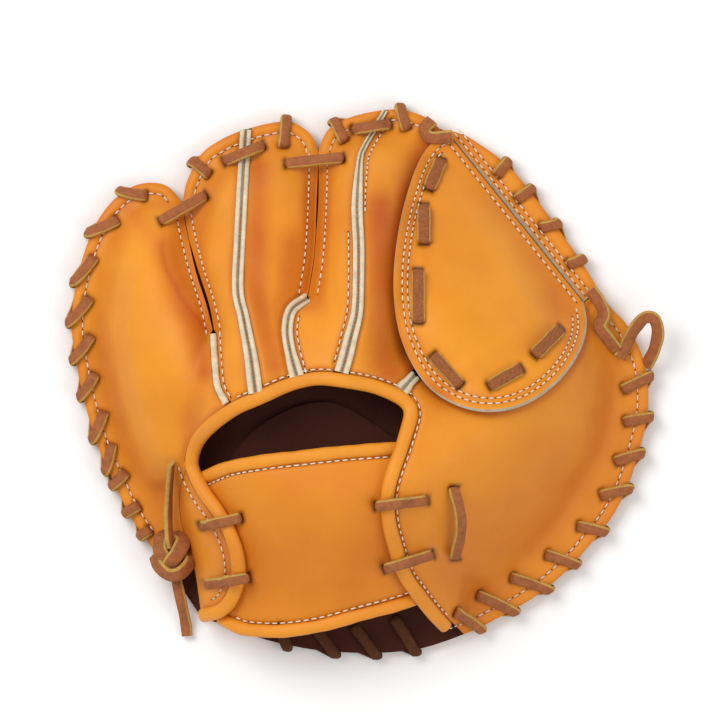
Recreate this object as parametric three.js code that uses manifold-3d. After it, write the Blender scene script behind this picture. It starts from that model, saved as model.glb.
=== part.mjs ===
// Small round leather training glove for ball games, lying palm down with its open back up.
// Millimetres, +Z up, finger tips towards +Y, thumb and web towards +X.
import * as THREE from 'three';
import Module from 'manifold-3d';

const wasm = await Module();
wasm.setup();

// Driving sizes
const GLOVE_WIDTH = 260;
const GLOVE_LENGTH = 245;
const PALM_LEATHER = 3;
const PALM_PADDING = 3;
const BACK_LEATHER = 2.4;
const WEB_LEATHER = 2.6;
const STRAP_LEATHER = 2.4;
const BINDING_WIDTH = 6.4;
const BINDING_HEIGHT = 5.6;
const STRAP_ROLL = 5.4;
const SINGLE_WELT = 3.2;
const DOUBLE_WELT = 5.6;
const WELT_HEIGHT = 3.4;
const LACE_WIDTH = 5;
const LACE_THICKNESS = 1.8;
const WEB_LACE_WIDTH = 5.8;
const KNOT_WIDTH = 17;
const KNOT_HEIGHT = 9;
const TAIL_WIDTH = 4;
const PALM_RISE = 34;
const FINGER_ROOM = 21;
const THUMB_ROOM = 24;
const HAND_ROOM = 34;
const WEB_FILL = 17;
const FLANGE = 7;
const SLIT_WIDTH = 1.6;
const STRAP_TUCK = 7;
const STRAP_DROP = 2.6;
const LINING_THICKNESS = 1.2;
const WELT_SINK = 0.4;

// Clearances
const GAP = 0.35;
const LAP_GAP = 0.8;
const WEB_SLACK = 1.12;
const LINING_GAP = 2.4;
const SEAM_GAP = 0.7;
const MAX_STEEPNESS = 1.7;

// Facet counts
const RIM_STEPS = 7;
const PANEL_ACROSS = 6;
const PANEL_ALONG = 10;
const ROLL_SIDES = 6;
const TAIL_SIDES = 8;
const STAPLE_STEPS = 4;
const LONG_STAPLE_STEPS = 6;

const HALF_WIDTH = GLOVE_WIDTH / 2;
const HALF_LENGTH = GLOVE_LENGTH / 2;
const RIM_LEVEL = LACE_THICKNESS + GAP + PALM_LEATHER;

const table = (columns, rows) => rows.map(
  (row) => Object.fromEntries(columns.map((name, index) => [name, row[index]])));

// Plan outlines. Columns x and y are shares of the half width and the half length.
const outline = (rows) => table(['x', 'y'], rows);

const LITTLE_RIM = outline([
  [-0.55, -0.87], [-0.66, -0.70], [-0.73, -0.60], [-0.80, -0.49], [-0.86, -0.36], [-0.91, -0.24],
  [-0.95, -0.10], [-0.98, 0.04], [-1.00, 0.19], [-0.99, 0.33], [-0.96, 0.46], [-0.92, 0.57],
  [-0.865, 0.655], [-0.80, 0.71], [-0.73, 0.73], [-0.665, 0.715], [-0.615, 0.655]]);
const MIDDLE_RIM = outline([
  [-0.615, 0.655], [-0.60, 0.735], [-0.55, 0.835], [-0.485, 0.885], [-0.41, 0.92], [-0.33, 0.945],
  [-0.25, 0.955], [-0.195, 0.93], [-0.16, 0.89], [-0.145, 0.84]]);
const INDEX_RIM = outline([
  [-0.145, 0.84], [-0.13, 0.89], [-0.10, 0.935], [-0.035, 0.97], [0.04, 0.99], [0.12, 1.00],
  [0.18, 0.99], [0.235, 0.965], [0.28, 0.925]]);
const WEB_RIM = outline([
  [0.28, 0.925], [0.335, 0.915], [0.395, 0.885], [0.52, 0.785], [0.65, 0.615], [0.77, 0.435],
  [0.825, 0.34]]);
const THUMB_RIM = outline([
  [0.825, 0.34], [0.87, 0.27], [0.92, 0.215], [0.96, 0.14], [0.99, 0.055], [1.00, -0.04],
  [0.995, -0.14], [0.97, -0.25], [0.935, -0.37], [0.88, -0.49], [0.80, -0.60], [0.71, -0.705],
  [0.605, -0.795], [0.50, -0.86], [0.40, -0.915], [0.305, -0.955]]);
const HEEL_RIM = outline([
  [0.305, -0.955], [0.21, -0.985], [0.09, -1.00], [-0.035, -1.00], [-0.155, -0.99], [-0.28, -0.965],
  [-0.38, -0.935], [-0.47, -0.90], [-0.55, -0.87]]);
const OPENING = outline([
  [-0.54, -0.86], [-0.48, -0.84], [-0.44, -0.79], [-0.42, -0.71], [-0.425, -0.63], [-0.45, -0.55],
  [-0.49, -0.475], [-0.535, -0.41], [-0.57, -0.34], [-0.58, -0.29], [-0.56, -0.22], [-0.51, -0.16],
  [-0.43, -0.10], [-0.345, -0.06], [-0.26, -0.02], [-0.20, 0.00], [-0.135, 0.01], [-0.045, 0.00],
  [0.05, -0.02], [0.13, -0.055], [0.165, -0.085], [0.175, -0.12], [0.165, -0.165], [0.14, -0.25],
  [0.11, -0.34], [0.095, -0.415], [0.10, -0.515], [0.12, -0.60], [0.15, -0.70], [0.20, -0.78],
  [0.255, -0.855], [0.295, -0.90]]);
const LITTLE_SLIT = outline([
  [-0.505, 0.185], [-0.525, 0.28], [-0.565, 0.41], [-0.60, 0.555], [-0.615, 0.655]]);
const LITTLE_WELT = outline([[-0.465, -0.07], [-0.49, -0.015], [-0.50, 0.09], [-0.505, 0.17]]);
const MIDDLE_WELT = outline([
  [-0.36, -0.03], [-0.375, 0.09], [-0.40, 0.23], [-0.42, 0.335], [-0.415, 0.505], [-0.405, 0.74],
  [-0.40, 0.845]]);
const MIDDLE_SLIT = outline([
  [-0.18, 0.31], [-0.16, 0.44], [-0.15, 0.59], [-0.145, 0.74], [-0.145, 0.84]]);
const KNUCKLE_WELT = outline([
  [-0.22, 0.03], [-0.24, 0.11], [-0.25, 0.19], [-0.235, 0.26], [-0.185, 0.30]]);
const INDEX_WELT = outline([
  [-0.06, 0.045], [-0.045, 0.10], [-0.03, 0.165], [-0.01, 0.255], [-0.005, 0.39], [-0.005, 0.505],
  [-0.01, 0.645], [0.00, 0.81], [0.015, 0.86], [0.03, 0.89]]);
const CROTCH_WELT = outline([[0.15, -0.025], [0.18, 0.01], [0.225, 0.055]]);
const INDEX_UNDER_WEB = outline([
  [0.225, 0.055], [0.195, 0.26], [0.19, 0.445], [0.21, 0.63], [0.24, 0.775], [0.28, 0.925]]);
const THUMB_UNDER_WEB = outline([
  [0.225, 0.055], [0.27, 0.03], [0.355, -0.01], [0.465, -0.02], [0.57, 0.01], [0.665, 0.09], [0.74, 0.195],
  [0.79, 0.27], [0.845, 0.31]]);
const TAB_EDGE = outline([
  [-0.55, -0.86], [-0.57, -0.71], [-0.59, -0.62], [-0.615, -0.535], [-0.625, -0.455], [-0.62, -0.385],
  [-0.59, -0.30]]);
const WEB_EDGE = outline([
  [0.31, 0.905], [0.265, 0.89], [0.21, 0.82], [0.165, 0.695], [0.13, 0.535], [0.115, 0.37], [0.125, 0.225],
  [0.155, 0.115], [0.21, 0.01], [0.28, -0.06], [0.38, -0.105], [0.485, -0.11], [0.59, -0.075], [0.69, 0.005],
  [0.76, 0.11], [0.785, 0.205], [0.775, 0.29]]);
const WEB_FOLD = outline([[0.31, 0.905], [0.775, 0.29]]);
const STRAP_TOP = outline([
  [-0.55, -0.36], [-0.45, -0.315], [-0.32, -0.29], [-0.20, -0.275], [-0.07, -0.26], [0.05, -0.25],
  [0.13, -0.245]]);
const STRAP_BOTTOM = outline([
  [-0.48, -0.87], [-0.415, -0.905], [-0.35, -0.915], [-0.26, -0.915], [-0.135, -0.895], [-0.015, -0.86],
  [0.11, -0.825], [0.20, -0.795]]);

// The hollow above the palm, as ridges that a finger, the thumb or the hand lies under.
// Columns: x and y as above, left and right reach as shares of the half width, rise as a share
// of the room named beside the table. The peak says how sharp the ridge is, the flank how full.
const ridge = (room, peak, flank, fades, rows) => (
  { room, peak, flank, fades, rows: table(['x', 'y', 'left', 'right', 'rise'], rows) });
const RIDGES = [
  ridge(FINGER_ROOM, 2, 0.65, true, [
    [-0.76, 0.62, 0.16, 0.13, 0.70], [-0.80, 0.42, 0.18, 0.18, 0.85], [-0.78, 0.18, 0.20, 0.25, 0.95],
    [-0.75, -0.02, 0.20, 0.26, 0.95], [-0.70, -0.20, 0.18, 0.20, 0.75]]),
  ridge(FINGER_ROOM, 1.35, 0.75, true, [
    [-0.39, 0.80, 0.19, 0.23, 0.75], [-0.41, 0.60, 0.17, 0.25, 0.95], [-0.42, 0.33, 0.11, 0.24, 1.05],
    [-0.38, 0.10, 0.12, 0.20, 1.20], [-0.35, -0.05, 0.16, 0.22, 1.25]]),
  ridge(FINGER_ROOM, 1.35, 0.75, true, [
    [0.03, 0.86, 0.16, 0.20, 0.80], [-0.005, 0.60, 0.14, 0.22, 1.00], [-0.005, 0.36, 0.15, 0.22, 1.15],
    [-0.03, 0.16, 0.18, 0.22, 1.25], [-0.06, 0.02, 0.20, 0.24, 1.30]]),
  ridge(THUMB_ROOM, 1.5, 0.8, true, [
    [0.80, 0.12, 0.20, 0.14, 0.70], [0.66, 0.00, 0.22, 0.22, 0.95], [0.52, -0.10, 0.22, 0.34, 1.00],
    [0.34, -0.24, 0.24, 0.42, 1.00], [0.20, -0.38, 0.24, 0.46, 0.95]]),
  ridge(HAND_ROOM, 2.2, 0.55, false, [
    [-0.20, -0.12, 0.40, 0.40, 0.85], [-0.18, -0.40, 0.45, 0.60, 0.97], [-0.16, -0.70, 0.41, 0.53, 1.00],
    [-0.14, -1.10, 0.39, 0.43, 1.00]])];
const WEB_RIDGE = ridge(WEB_FILL, 2, 0.9, true, [
  [0.34, 0.70, 0.24, 0.24, 0.50], [0.34, 0.42, 0.30, 0.34, 0.90], [0.36, 0.20, 0.34, 0.40, 1.15],
  [0.44, 0.06, 0.30, 0.34, 1.00]]);
const BLEND_POWER = 5;

// The palm rises from a flat flange round the rim to a crown above the ball pocket.
const CROWN = new THREE.Vector2(-0.105 * HALF_WIDTH, -0.05 * HALF_LENGTH);
const CROWN_SHARE = 0.36;
const FADE_SHARE = 0.2;

const place = (row) => new THREE.Vector2(row.x * HALF_WIDTH, row.y * HALF_LENGTH);

function smooth(value) {
  const t = THREE.MathUtils.clamp(value, 0, 1);
  return t * t * (3 - 2 * t);
}

function lengths(points) {
  const sums = [0];
  for (let i = 1; i < points.length; i += 1) {
    sums.push(sums[i - 1] + points[i].distanceTo(points[i - 1]));
  }
  return sums;
}

// A polyline cut anew into equal steps.
function resample(points, steps) {
  const sums = lengths(points);
  const total = sums[sums.length - 1];
  const result = [];
  let part = 0;
  for (let i = 0; i <= steps; i += 1) {
    const target = (total * i) / steps;
    while (part < points.length - 2 && sums[part + 1] < target) {
      part += 1;
    }
    const span = sums[part + 1] - sums[part];
    const share = span > 0 ? (target - sums[part]) / span : 0;
    result.push(points[part].clone().lerp(points[part + 1], THREE.MathUtils.clamp(share, 0, 1)));
  }
  return result;
}

const FINE_STEPS = 80;
const drawn = (rows) => resample(
  new THREE.SplineCurve(rows.map(place)).getPoints(FINE_STEPS * 2), FINE_STEPS);

function nearestIndex(points, target) {
  let best = 0;
  points.forEach((point, index) => {
    if (point.distanceTo(target) < points[best].distanceTo(target)) {
      best = index;
    }
  });
  return best;
}

// The stretch of a path that lies between the two points nearest to from and to.
function stretch(points, from, to) {
  const start = nearestIndex(points, from);
  const end = nearestIndex(points, to);
  return start <= end ? points.slice(start, end + 1) : points.slice(end, start + 1).reverse();
}

function tangentAt(points, index) {
  const before = points[Math.max(index - 1, 0)];
  const after = points[Math.min(index + 1, points.length - 1)];
  return after.clone().sub(before).normalize();
}

// The same path moved sideways, to the left of its own direction for a positive distance.
function beside(points, distance) {
  return points.map((point, index) => {
    const tangent = tangentAt(points, index);
    return new THREE.Vector2(point.x - tangent.y * distance, point.y + tangent.x * distance);
  });
}

const first = (points) => points[0];
const last = (points) => points[points.length - 1];
const reversed = (points) => points.slice().reverse();

const littleRim = drawn(LITTLE_RIM);
const middleRim = drawn(MIDDLE_RIM);
const indexRim = drawn(INDEX_RIM);
const webRim = drawn(WEB_RIM);
const thumbRim = drawn(THUMB_RIM);
const heelRim = drawn(HEEL_RIM);
const RIM_STRETCHES = [
  { path: littleRim, steps: 1.6 }, { path: middleRim, steps: 0.8 }, { path: indexRim, steps: 0.7 },
  { path: webRim, steps: 0.6 }, { path: thumbRim, steps: 1.3 }, { path: heelRim, steps: 0.6 }];

const wholeRim = RIM_STRETCHES.flatMap(({ path }) => path.slice(0, -1));

// The rim point nearest to a point, with the way straight out from it.
function nearestOnRim(point) {
  const index = nearestIndex(wholeRim, point);
  const tangent = tangentAt(wholeRim, index);
  return { rim: wholeRim[index].clone(), away: new THREE.Vector2(-tangent.y, tangent.x) };
}

function rimLoop(scale) {
  const loop = [];
  RIM_STRETCHES.forEach(({ path, steps }) => {
    loop.push(...resample(path, Math.round(steps * RIM_STEPS * scale)).slice(0, -1));
  });
  return loop;
}

// How far out each direction from the crown the rim lies.
const rimByAngle = rimLoop(4).map((point) => {
  const arm = point.clone().sub(CROWN);
  return { angle: Math.atan2(arm.y, arm.x), reach: arm.length() };
}).sort((a, b) => a.angle - b.angle);

function rimReach(point) {
  const arm = point.clone().sub(CROWN);
  const angle = Math.atan2(arm.y, arm.x);
  const count = rimByAngle.length;
  let next = rimByAngle.findIndex((entry) => entry.angle > angle);
  next = next < 0 ? 0 : next;
  const after = rimByAngle[next];
  const before = rimByAngle[(next + count - 1) % count];
  const turn = (value) => (value + 4 * Math.PI) % (2 * Math.PI);
  const span = turn(after.angle - before.angle);
  const share = span > 0 ? turn(angle - before.angle) / span : 0;
  return THREE.MathUtils.lerp(before.reach, after.reach, THREE.MathUtils.clamp(share, 0, 1));
}

// Millimetres from the rim towards the crown, and the share of the whole way.
function inwards(point) {
  const reach = rimReach(point);
  const arm = point.distanceTo(CROWN);
  return { depth: reach - arm, share: arm / reach, reach };
}

function palmTop(point) {
  const { share, reach } = inwards(point);
  const flangeShare = 1 - FLANGE / reach;
  return RIM_LEVEL + PALM_RISE * smooth((flangeShare - share) / (flangeShare - CROWN_SHARE));
}

function ridgeHeight(point, { room, peak, flank, rows }) {
  let best = 0;
  for (let i = 0; i + 1 < rows.length; i += 1) {
    const from = place(rows[i]);
    const to = place(rows[i + 1]);
    const run = to.clone().sub(from);
    const arm = point.clone().sub(from);
    const along = THREE.MathUtils.clamp(arm.dot(run) / run.lengthSq(), 0, 1);
    const away = point.distanceTo(from.clone().addScaledVector(run, along));
    const side = run.cross(arm) > 0 ? 'right' : 'left';
    const reach = HALF_WIDTH * THREE.MathUtils.lerp(rows[i][side], rows[i + 1][side], along);
    const rise = room * THREE.MathUtils.lerp(rows[i].rise, rows[i + 1].rise, along);
    if (away < reach) {
      best = Math.max(best, rise * (1 - (away / reach) ** peak) ** flank);
    }
  }
  return best;
}

// Room between the palm and the back above it.
function roomAt(point, ridges) {
  const { share, reach } = inwards(point);
  const fade = smooth((1 - FLANGE / reach - share) / FADE_SHARE);
  const sum = ridges.reduce((total, entry) => {
    const height = ridgeHeight(point, entry) * (entry.fades ? fade : 1);
    return total + height ** BLEND_POWER;
  }, 0);
  return sum ** (1 / BLEND_POWER);
}

const backUnder = (point) => palmTop(point) + GAP + LAP_GAP * smooth(inwards(point).depth / FLANGE - 1)
  + roomAt(point, RIDGES);

// Secant of the slope of a height, so that a wall keeps its thickness on a flank.
const SLOPE_STEP = 1.5;
function steepness(height, point) {
  const at = (x, y) => height(new THREE.Vector2(point.x + x, point.y + y));
  const dx = (at(SLOPE_STEP, 0) - at(-SLOPE_STEP, 0)) / (2 * SLOPE_STEP);
  const dy = (at(0, SLOPE_STEP) - at(0, -SLOPE_STEP)) / (2 * SLOPE_STEP);
  return Math.min(Math.hypot(1, dx, dy), MAX_STEEPNESS);
}

const backTop = (point) => backUnder(point) + BACK_LEATHER * steepness(backUnder, point);
const PADDING_EDGE_SHARE = 0.86;
const palmThickness = (point) => PALM_LEATHER
  + PALM_PADDING * smooth((PADDING_EDGE_SHARE - inwards(point).share) / FADE_SHARE);
const palmUnder = (point) => palmTop(point) - palmThickness(point) * steepness(palmTop, point);

const webRoom = (point) => roomAt(point, [...RIDGES, WEB_RIDGE]);
const webUnder = (point) => palmTop(point) + GAP + LAP_GAP + BACK_LEATHER * steepness(backUnder, point)
  + LAP_GAP * smooth(inwards(point).depth / FLANGE - 1) + webRoom(point) * WEB_SLACK;
const webTop = (point) => webUnder(point) + WEB_LEATHER * steepness(webUnder, point);

// Solids
function solid(positions, indices) {
  const geometry = new THREE.BufferGeometry();
  const values = positions.flatMap((p) => [p.x, p.y, p.z]);
  geometry.setAttribute('position', new THREE.Float32BufferAttribute(values, 3));
  geometry.setIndex(indices);
  let volume = 0;
  for (let i = 0; i < indices.length; i += 3) {
    const [a, b, c] = [positions[indices[i]], positions[indices[i + 1]], positions[indices[i + 2]]];
    volume += a.dot(b.clone().cross(c));
  }
  if (volume < 0) {
    geometry.setIndex(indices.slice().reverse());
  }
  return geometry;
}

// A leather panel: a grid of plan points between an upper and a lower height.
function panel(grid, top, under) {
  const across = grid[0].length;
  const positions = [];
  grid.forEach((row) => row.forEach((p) => positions.push(new THREE.Vector3(p.x, p.y, top(p)))));
  grid.forEach((row) => row.forEach((p) => positions.push(new THREE.Vector3(p.x, p.y, under(p)))));
  const lower = grid.length * across;
  const at = (i, j) => i * across + j;
  const indices = [];
  const quad = (a, b, c, d) => indices.push(a, b, c, a, c, d);
  for (let i = 0; i + 1 < grid.length; i += 1) {
    for (let j = 0; j + 1 < across; j += 1) {
      quad(at(i, j), at(i, j + 1), at(i + 1, j + 1), at(i + 1, j));
      quad(lower + at(i, j), lower + at(i + 1, j), lower + at(i + 1, j + 1), lower + at(i, j + 1));
    }
    quad(at(i, 0), at(i + 1, 0), lower + at(i + 1, 0), lower + at(i, 0));
    quad(at(i + 1, across - 1), at(i, across - 1), lower + at(i, across - 1), lower + at(i + 1, across - 1));
  }
  for (let j = 0; j + 1 < across; j += 1) {
    quad(at(0, j + 1), at(0, j), lower + at(0, j), lower + at(0, j + 1));
    const end = grid.length - 1;
    quad(at(end, j), at(end, j + 1), lower + at(end, j + 1), lower + at(end, j));
  }
  return solid(positions, indices);
}

// Plan points spread between four sides, each running left to right or bottom to top.
function spread({ left, right, bottom, top }, across = PANEL_ACROSS, along = PANEL_ALONG) {
  const [l, r] = [resample(left, along), resample(right, along)];
  const [b, t] = [resample(bottom, across), resample(top, across)];
  const mix = (p, q, share) => p.clone().lerp(q, share);
  const grid = [];
  for (let i = 0; i <= along; i += 1) {
    const row = [];
    for (let j = 0; j <= across; j += 1) {
      const [u, v] = [j / across, i / along];
      const corners = mix(mix(b[0], b[across], u), mix(t[0], t[across], u), v);
      row.push(mix(l[i], r[i], u).add(mix(b[j], t[j], v)).sub(corners));
    }
    grid.push(row);
  }
  return grid;
}

// A section carried along a path; ups tell which way its upper side faces at each point.
function sweep(path, ups, section) {
  const positions = [];
  path.forEach((point, index) => {
    const before = path[Math.max(index - 1, 0)];
    const after = path[Math.min(index + 1, path.length - 1)];
    const tangent = after.clone().sub(before).normalize();
    const side = tangent.clone().cross(ups[index]).normalize();
    const up = side.clone().cross(tangent).normalize();
    section.forEach(([s, u]) => {
      positions.push(point.clone().addScaledVector(side, s).addScaledVector(up, u));
    });
  });
  const sides = section.length;
  const indices = [];
  for (let i = 0; i + 1 < path.length; i += 1) {
    for (let j = 0; j < sides; j += 1) {
      const [a, b] = [i * sides + j, i * sides + ((j + 1) % sides)];
      indices.push(a, b, b + sides, a, b + sides, a + sides);
    }
  }
  const end = (path.length - 1) * sides;
  for (let j = 1; j + 1 < sides; j += 1) {
    indices.push(0, j + 1, j, end, end + j, end + j + 1);
  }
  return solid(positions, indices);
}

const scaled = (corners, width, height) => corners.map(([s, u]) => [s * width, u * height]);
const strip = (width, thickness) => scaled(
  [[-0.5, -0.5], [0.5, -0.5], [0.5, 0.5], [-0.5, 0.5]], width, thickness);
const roll = (width, height, sides = ROLL_SIDES) => Array.from({ length: sides }, (_, i) => {
  const angle = (2 * Math.PI * (i + 0.5)) / sides;
  return [(width / 2) * Math.cos(angle), (height / 2) * Math.sin(angle)];
});
// Two strands side by side with a groove between them.
const DOUBLE_SECTION = [
  [-0.5, -0.3], [0.5, -0.3], [0.5, 0.2], [0.27, 0.5], [0, 0.2], [-0.27, 0.5], [-0.5, 0.2]];
const doubleRoll = (width, height) => scaled(DOUBLE_SECTION, width, height);

const UP = new THREE.Vector3(0, 0, 1);
const raised = (points, height) => points.map((p) => new THREE.Vector3(p.x, p.y, height(p)));
const rollAlong = (points, height, section) => sweep(
  raised(points, height), points.map(() => UP), section);

// A slot through the leather for a lace that stands in it, with its wide side across the way out.
const SLOT_SLACK = 1;
const at = (point, z) => new THREE.Vector3(point.x, point.y, z);
function slot(point, out, width, low, high) {
  const ends = [at(point, low), at(point, high)];
  return sweep(ends, [out, out], strip(width + 2 * SLOT_SLACK, LACE_THICKNESS + 4 * SLOT_SLACK));
}

const LEG_REACH = 1;
const LEG = BACK_LEATHER + LACE_THICKNESS + LEG_REACH;
const CORNER = 1.1;
const SHOULDER = 1;
const STITCH_SLACK = 0.9;
const FLAT_LIFT = GAP + LACE_THICKNESS / 2;
const EDGE_LIFT = FLAT_LIFT + 2 * GAP;

// Height of a lace's middle where it lies over leather that may slope across its width.
function liftOver(height, point, out, width) {
  const acrossIt = new THREE.Vector2(-out.y, out.x).multiplyScalar(0.45 * width);
  const sides = [-1, 0, 1].map((side) => height(point.clone().addScaledVector(acrossIt, side)));
  return Math.max(...sides) + FLAT_LIFT * steepness(height, point);
}

// A staple of lace: down through a hole, over the leather and down through another.
function staple(from, to, width, height, arch, leg = LEG, steps = STAPLE_STEPS) {
  const along = to.clone().sub(from).normalize();
  const out = at(along, 0);
  const path = [];
  const ups = [];
  const add = (p, z, up) => {
    path.push(at(p, z));
    ups.push(up);
  };
  const [zFrom, zTo] = [liftOver(height, from, out, width), liftOver(height, to, out, width)];
  add(from, zFrom - leg, out.clone().negate());
  add(from, zFrom - CORNER, out.clone().negate());
  const start = from.clone().addScaledVector(along, CORNER);
  const end = to.clone().addScaledVector(along, -CORNER);
  for (let i = 0; i <= steps; i += 1) {
    const p = start.clone().lerp(end, i / steps);
    const tilt = (Number(i === steps) - Number(i === 0)) / 2;
    const bridge = THREE.MathUtils.lerp(zFrom, zTo, i / steps);
    const shares = [-0.5, 0, 0.5].map((shift) => THREE.MathUtils.clamp((i + shift) / steps, 0, 1));
    const nearby = shares.map((share) => liftOver(height, start.clone().lerp(end, share), out, width));
    const rise = Math.max(bridge, ...nearby);
    add(p, rise + arch * Math.sin((Math.PI * i) / steps), UP.clone().addScaledVector(out, tilt));
  }
  add(to, zTo - CORNER, out);
  add(to, zTo - leg, out);
  const slots = [
    slot(from, out, width, zFrom - leg - CORNER, zFrom),
    slot(to, out, width, zTo - leg - CORNER, zTo)];
  return { path, ups, slots };
}

// Whip lacing: each stitch goes from its hole over the rim and back below to the next hole.
const DOWN = UP.clone().negate();
const TURN_SHARE = 0.55;
const RUN_OUT = LACE_WIDTH * 1.4;
function whip(rows, top) {
  const path = [];
  const ups = [];
  const slots = [];
  const add = (p, z, up) => {
    path.push(at(p, z));
    ups.push(up);
  };
  const palmDepth = (p) => -palmUnder(p);
  const over = (p, out) => liftOver(top, p, out, LACE_WIDTH);
  const under = (p, out) => -liftOver(palmDepth, p, out, LACE_WIDTH);
  rows.forEach((row, index) => {
    const hole = place(row);
    const { rim, away } = nearestOnRim(place({ x: row.rimX, y: row.rimY }));
    const flat = rim.clone().sub(hole).normalize();
    const out = at(flat, 0);
    const square = at(away, 0);
    slots.push(slot(hole, out, LACE_WIDTH, palmUnder(hole) - PALM_LEATHER, top(hole) + LACE_THICKNESS));
    if (index === 0) {
      add(hole, palmUnder(hole) + PALM_LEATHER / 2, out.clone().negate());
    }
    add(hole, (palmUnder(hole) + top(hole)) / 2, out.clone().negate());
    const turn = hole.clone().addScaledVector(flat, TURN_SHARE * CORNER);
    add(turn, over(hole, out), UP.clone().addScaledVector(out, -TURN_SHARE));
    const [near, middle, far] = [0.3, 0.5, 0.7].map((share) => hole.clone().lerp(rim, share));
    add(middle, Math.max(over(near, out), over(middle, out), over(far, out)) + STITCH_SLACK, UP);
    const shoulder = rim.clone().addScaledVector(away, SHOULDER);
    const edge = rim.clone().addScaledVector(away, FLAT_LIFT + 3 * GAP);
    add(shoulder, top(rim) + EDGE_LIFT, UP.clone().addScaledVector(square, TURN_SHARE));
    add(edge, (RIM_LEVEL + top(rim) - PALM_LEATHER) / 2, square);
    add(shoulder, RIM_LEVEL - PALM_LEATHER - EDGE_LIFT, DOWN.clone().addScaledVector(square, TURN_SHARE));
    if (index + 1 < rows.length) {
      const next = place(rows[index + 1]);
      const below = rim.clone().lerp(next, 0.5);
      const inner = next.clone().lerp(rim, 0.05);
      add(below, under(below, out) - STITCH_SLACK, DOWN);
      add(inner, under(next, out) - GAP, DOWN.clone().addScaledVector(out, -TURN_SHARE));
    } else {
      const end = rim.clone().addScaledVector(flat, -RUN_OUT);
      add(end, under(end, out), DOWN);
    }
  });
  return { path, ups, slots };
}

// Stitch places. Columns: the hole, then the point where the lace crosses the rim.
const stitches = (rows) => table(['x', 'y', 'rimX', 'rimY'], rows);
const LITTLE_STITCHES = stitches([
  [-0.73, -0.55, -0.76, -0.575], [-0.77, -0.46, -0.81, -0.485], [-0.815, -0.34, -0.86, -0.39],
  [-0.862, -0.24, -0.885, -0.33], [-0.89, -0.12, -0.925, -0.21], [-0.92, 0.02, -0.97, -0.05],
  [-0.935, 0.16, -0.99, 0.08], [-0.94, 0.30, -1.00, 0.22], [-0.925, 0.45, -0.985, 0.37],
  [-0.845, 0.59, -0.935, 0.55], [-0.745, 0.682, -0.82, 0.695]]);
const MIDDLE_STITCHES = stitches([[-0.525, 0.76, -0.575, 0.805], [-0.265, 0.865, -0.255, 0.955]]);
const INDEX_STITCHES = stitches([[-0.055, 0.885, -0.085, 0.95], [0.16, 0.93, 0.14, 1.00]]);
const WEB_STITCHES = stitches([
  [0.475, 0.76, 0.505, 0.80], [0.545, 0.67, 0.59, 0.70], [0.63, 0.565, 0.68, 0.575],
  [0.725, 0.43, 0.765, 0.445]]);
const THUMB_STITCHES = stitches([
  [0.915, -0.03, 1.00, 0.01], [0.92, -0.15, 0.995, -0.13], [0.89, -0.295, 0.965, -0.27],
  [0.84, -0.42, 0.92, -0.40], [0.76, -0.535, 0.84, -0.545], [0.65, -0.64, 0.74, -0.67],
  [0.53, -0.725, 0.645, -0.765], [0.415, -0.79, 0.53, -0.845], [0.335, -0.85, 0.415, -0.905]]);
const HEEL_STITCHES = stitches([
  [0.12, -0.875, 0.19, -0.985], [-0.02, -0.905, 0.05, -1.00], [-0.15, -0.92, -0.09, -0.995],
  [-0.285, -0.90, -0.25, -0.97]]);

// Laces that show as single bars. Columns: both ends.
const bars = (rows) => table(['x', 'y', 'endX', 'endY'], rows);
const WEB_BARS = bars([
  [0.28, 0.81, 0.24, 0.71], [0.22, 0.64, 0.22, 0.51], [0.20, 0.40, 0.20, 0.22], [0.255, 0.09, 0.34, -0.01],
  [0.45, -0.015, 0.55, 0.045], [0.605, 0.10, 0.69, 0.19]]);
const GAP_BARS = bars([[-0.685, 0.59, -0.54, 0.68], [-0.25, 0.80, -0.065, 0.82]]);
const WELT_BARS = bars([[-0.465, 0.81, -0.34, 0.865], [-0.02, 0.925, 0.10, 0.945]]);
const STRAP_BARS = bars([
  [-0.545, -0.53, -0.415, -0.50], [-0.53, -0.745, -0.39, -0.72], [0.225, -0.435, 0.06, -0.455],
  [0.245, -0.635, 0.09, -0.685]]);
const THUMB_BAR = bars([[0.325, -0.395, 0.33, -0.645]]);

const opening = drawn(OPENING);
const tabEdge = drawn(TAB_EDGE);
const slits = { little: drawn(LITTLE_SLIT), middle: drawn(MIDDLE_SLIT) };
const welts = {
  little: drawn(LITTLE_WELT),
  middle: drawn(MIDDLE_WELT),
  knuckle: drawn(KNUCKLE_WELT),
  index: drawn(INDEX_WELT),
  crotch: drawn(CROTCH_WELT) };

// Panel edges keep clear of the roll or welt that they meet.
const rollReach = BINDING_WIDTH / 2 + SEAM_GAP;
const openingOutside = beside(opening, rollReach);
const halfSlit = SLIT_WIDTH / 2;
const singleReach = SINGLE_WELT / 2 + SEAM_GAP;
const doubleReach = DOUBLE_WELT / 2 + SEAM_GAP;
const seamBeside = (welt, slit, reach, sign) => [
  ...beside(welt, sign * reach), ...beside(slit, sign * halfSlit).slice(1)];
const littleSeam = (sign) => seamBeside(welts.little, slits.little, singleReach, sign);
const middleSeam = (sign) => beside(welts.middle, sign * doubleReach);
const knuckleSeam = (sign) => seamBeside(welts.knuckle, slits.middle, doubleReach, sign);
const indexSeam = (sign) => beside(welts.index, sign * doubleReach);
const crotchSeam = (sign) => beside(welts.crotch, sign * doubleReach);

// Lets a side start or end on the edge that it meets.
function closed(sides) {
  const { left, right, bottom, top } = sides;
  return {
    left: [first(bottom), ...left.slice(1, -1), first(top)],
    right: [last(bottom), ...right.slice(1, -1), last(top)],
    bottom,
    top };
}

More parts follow.
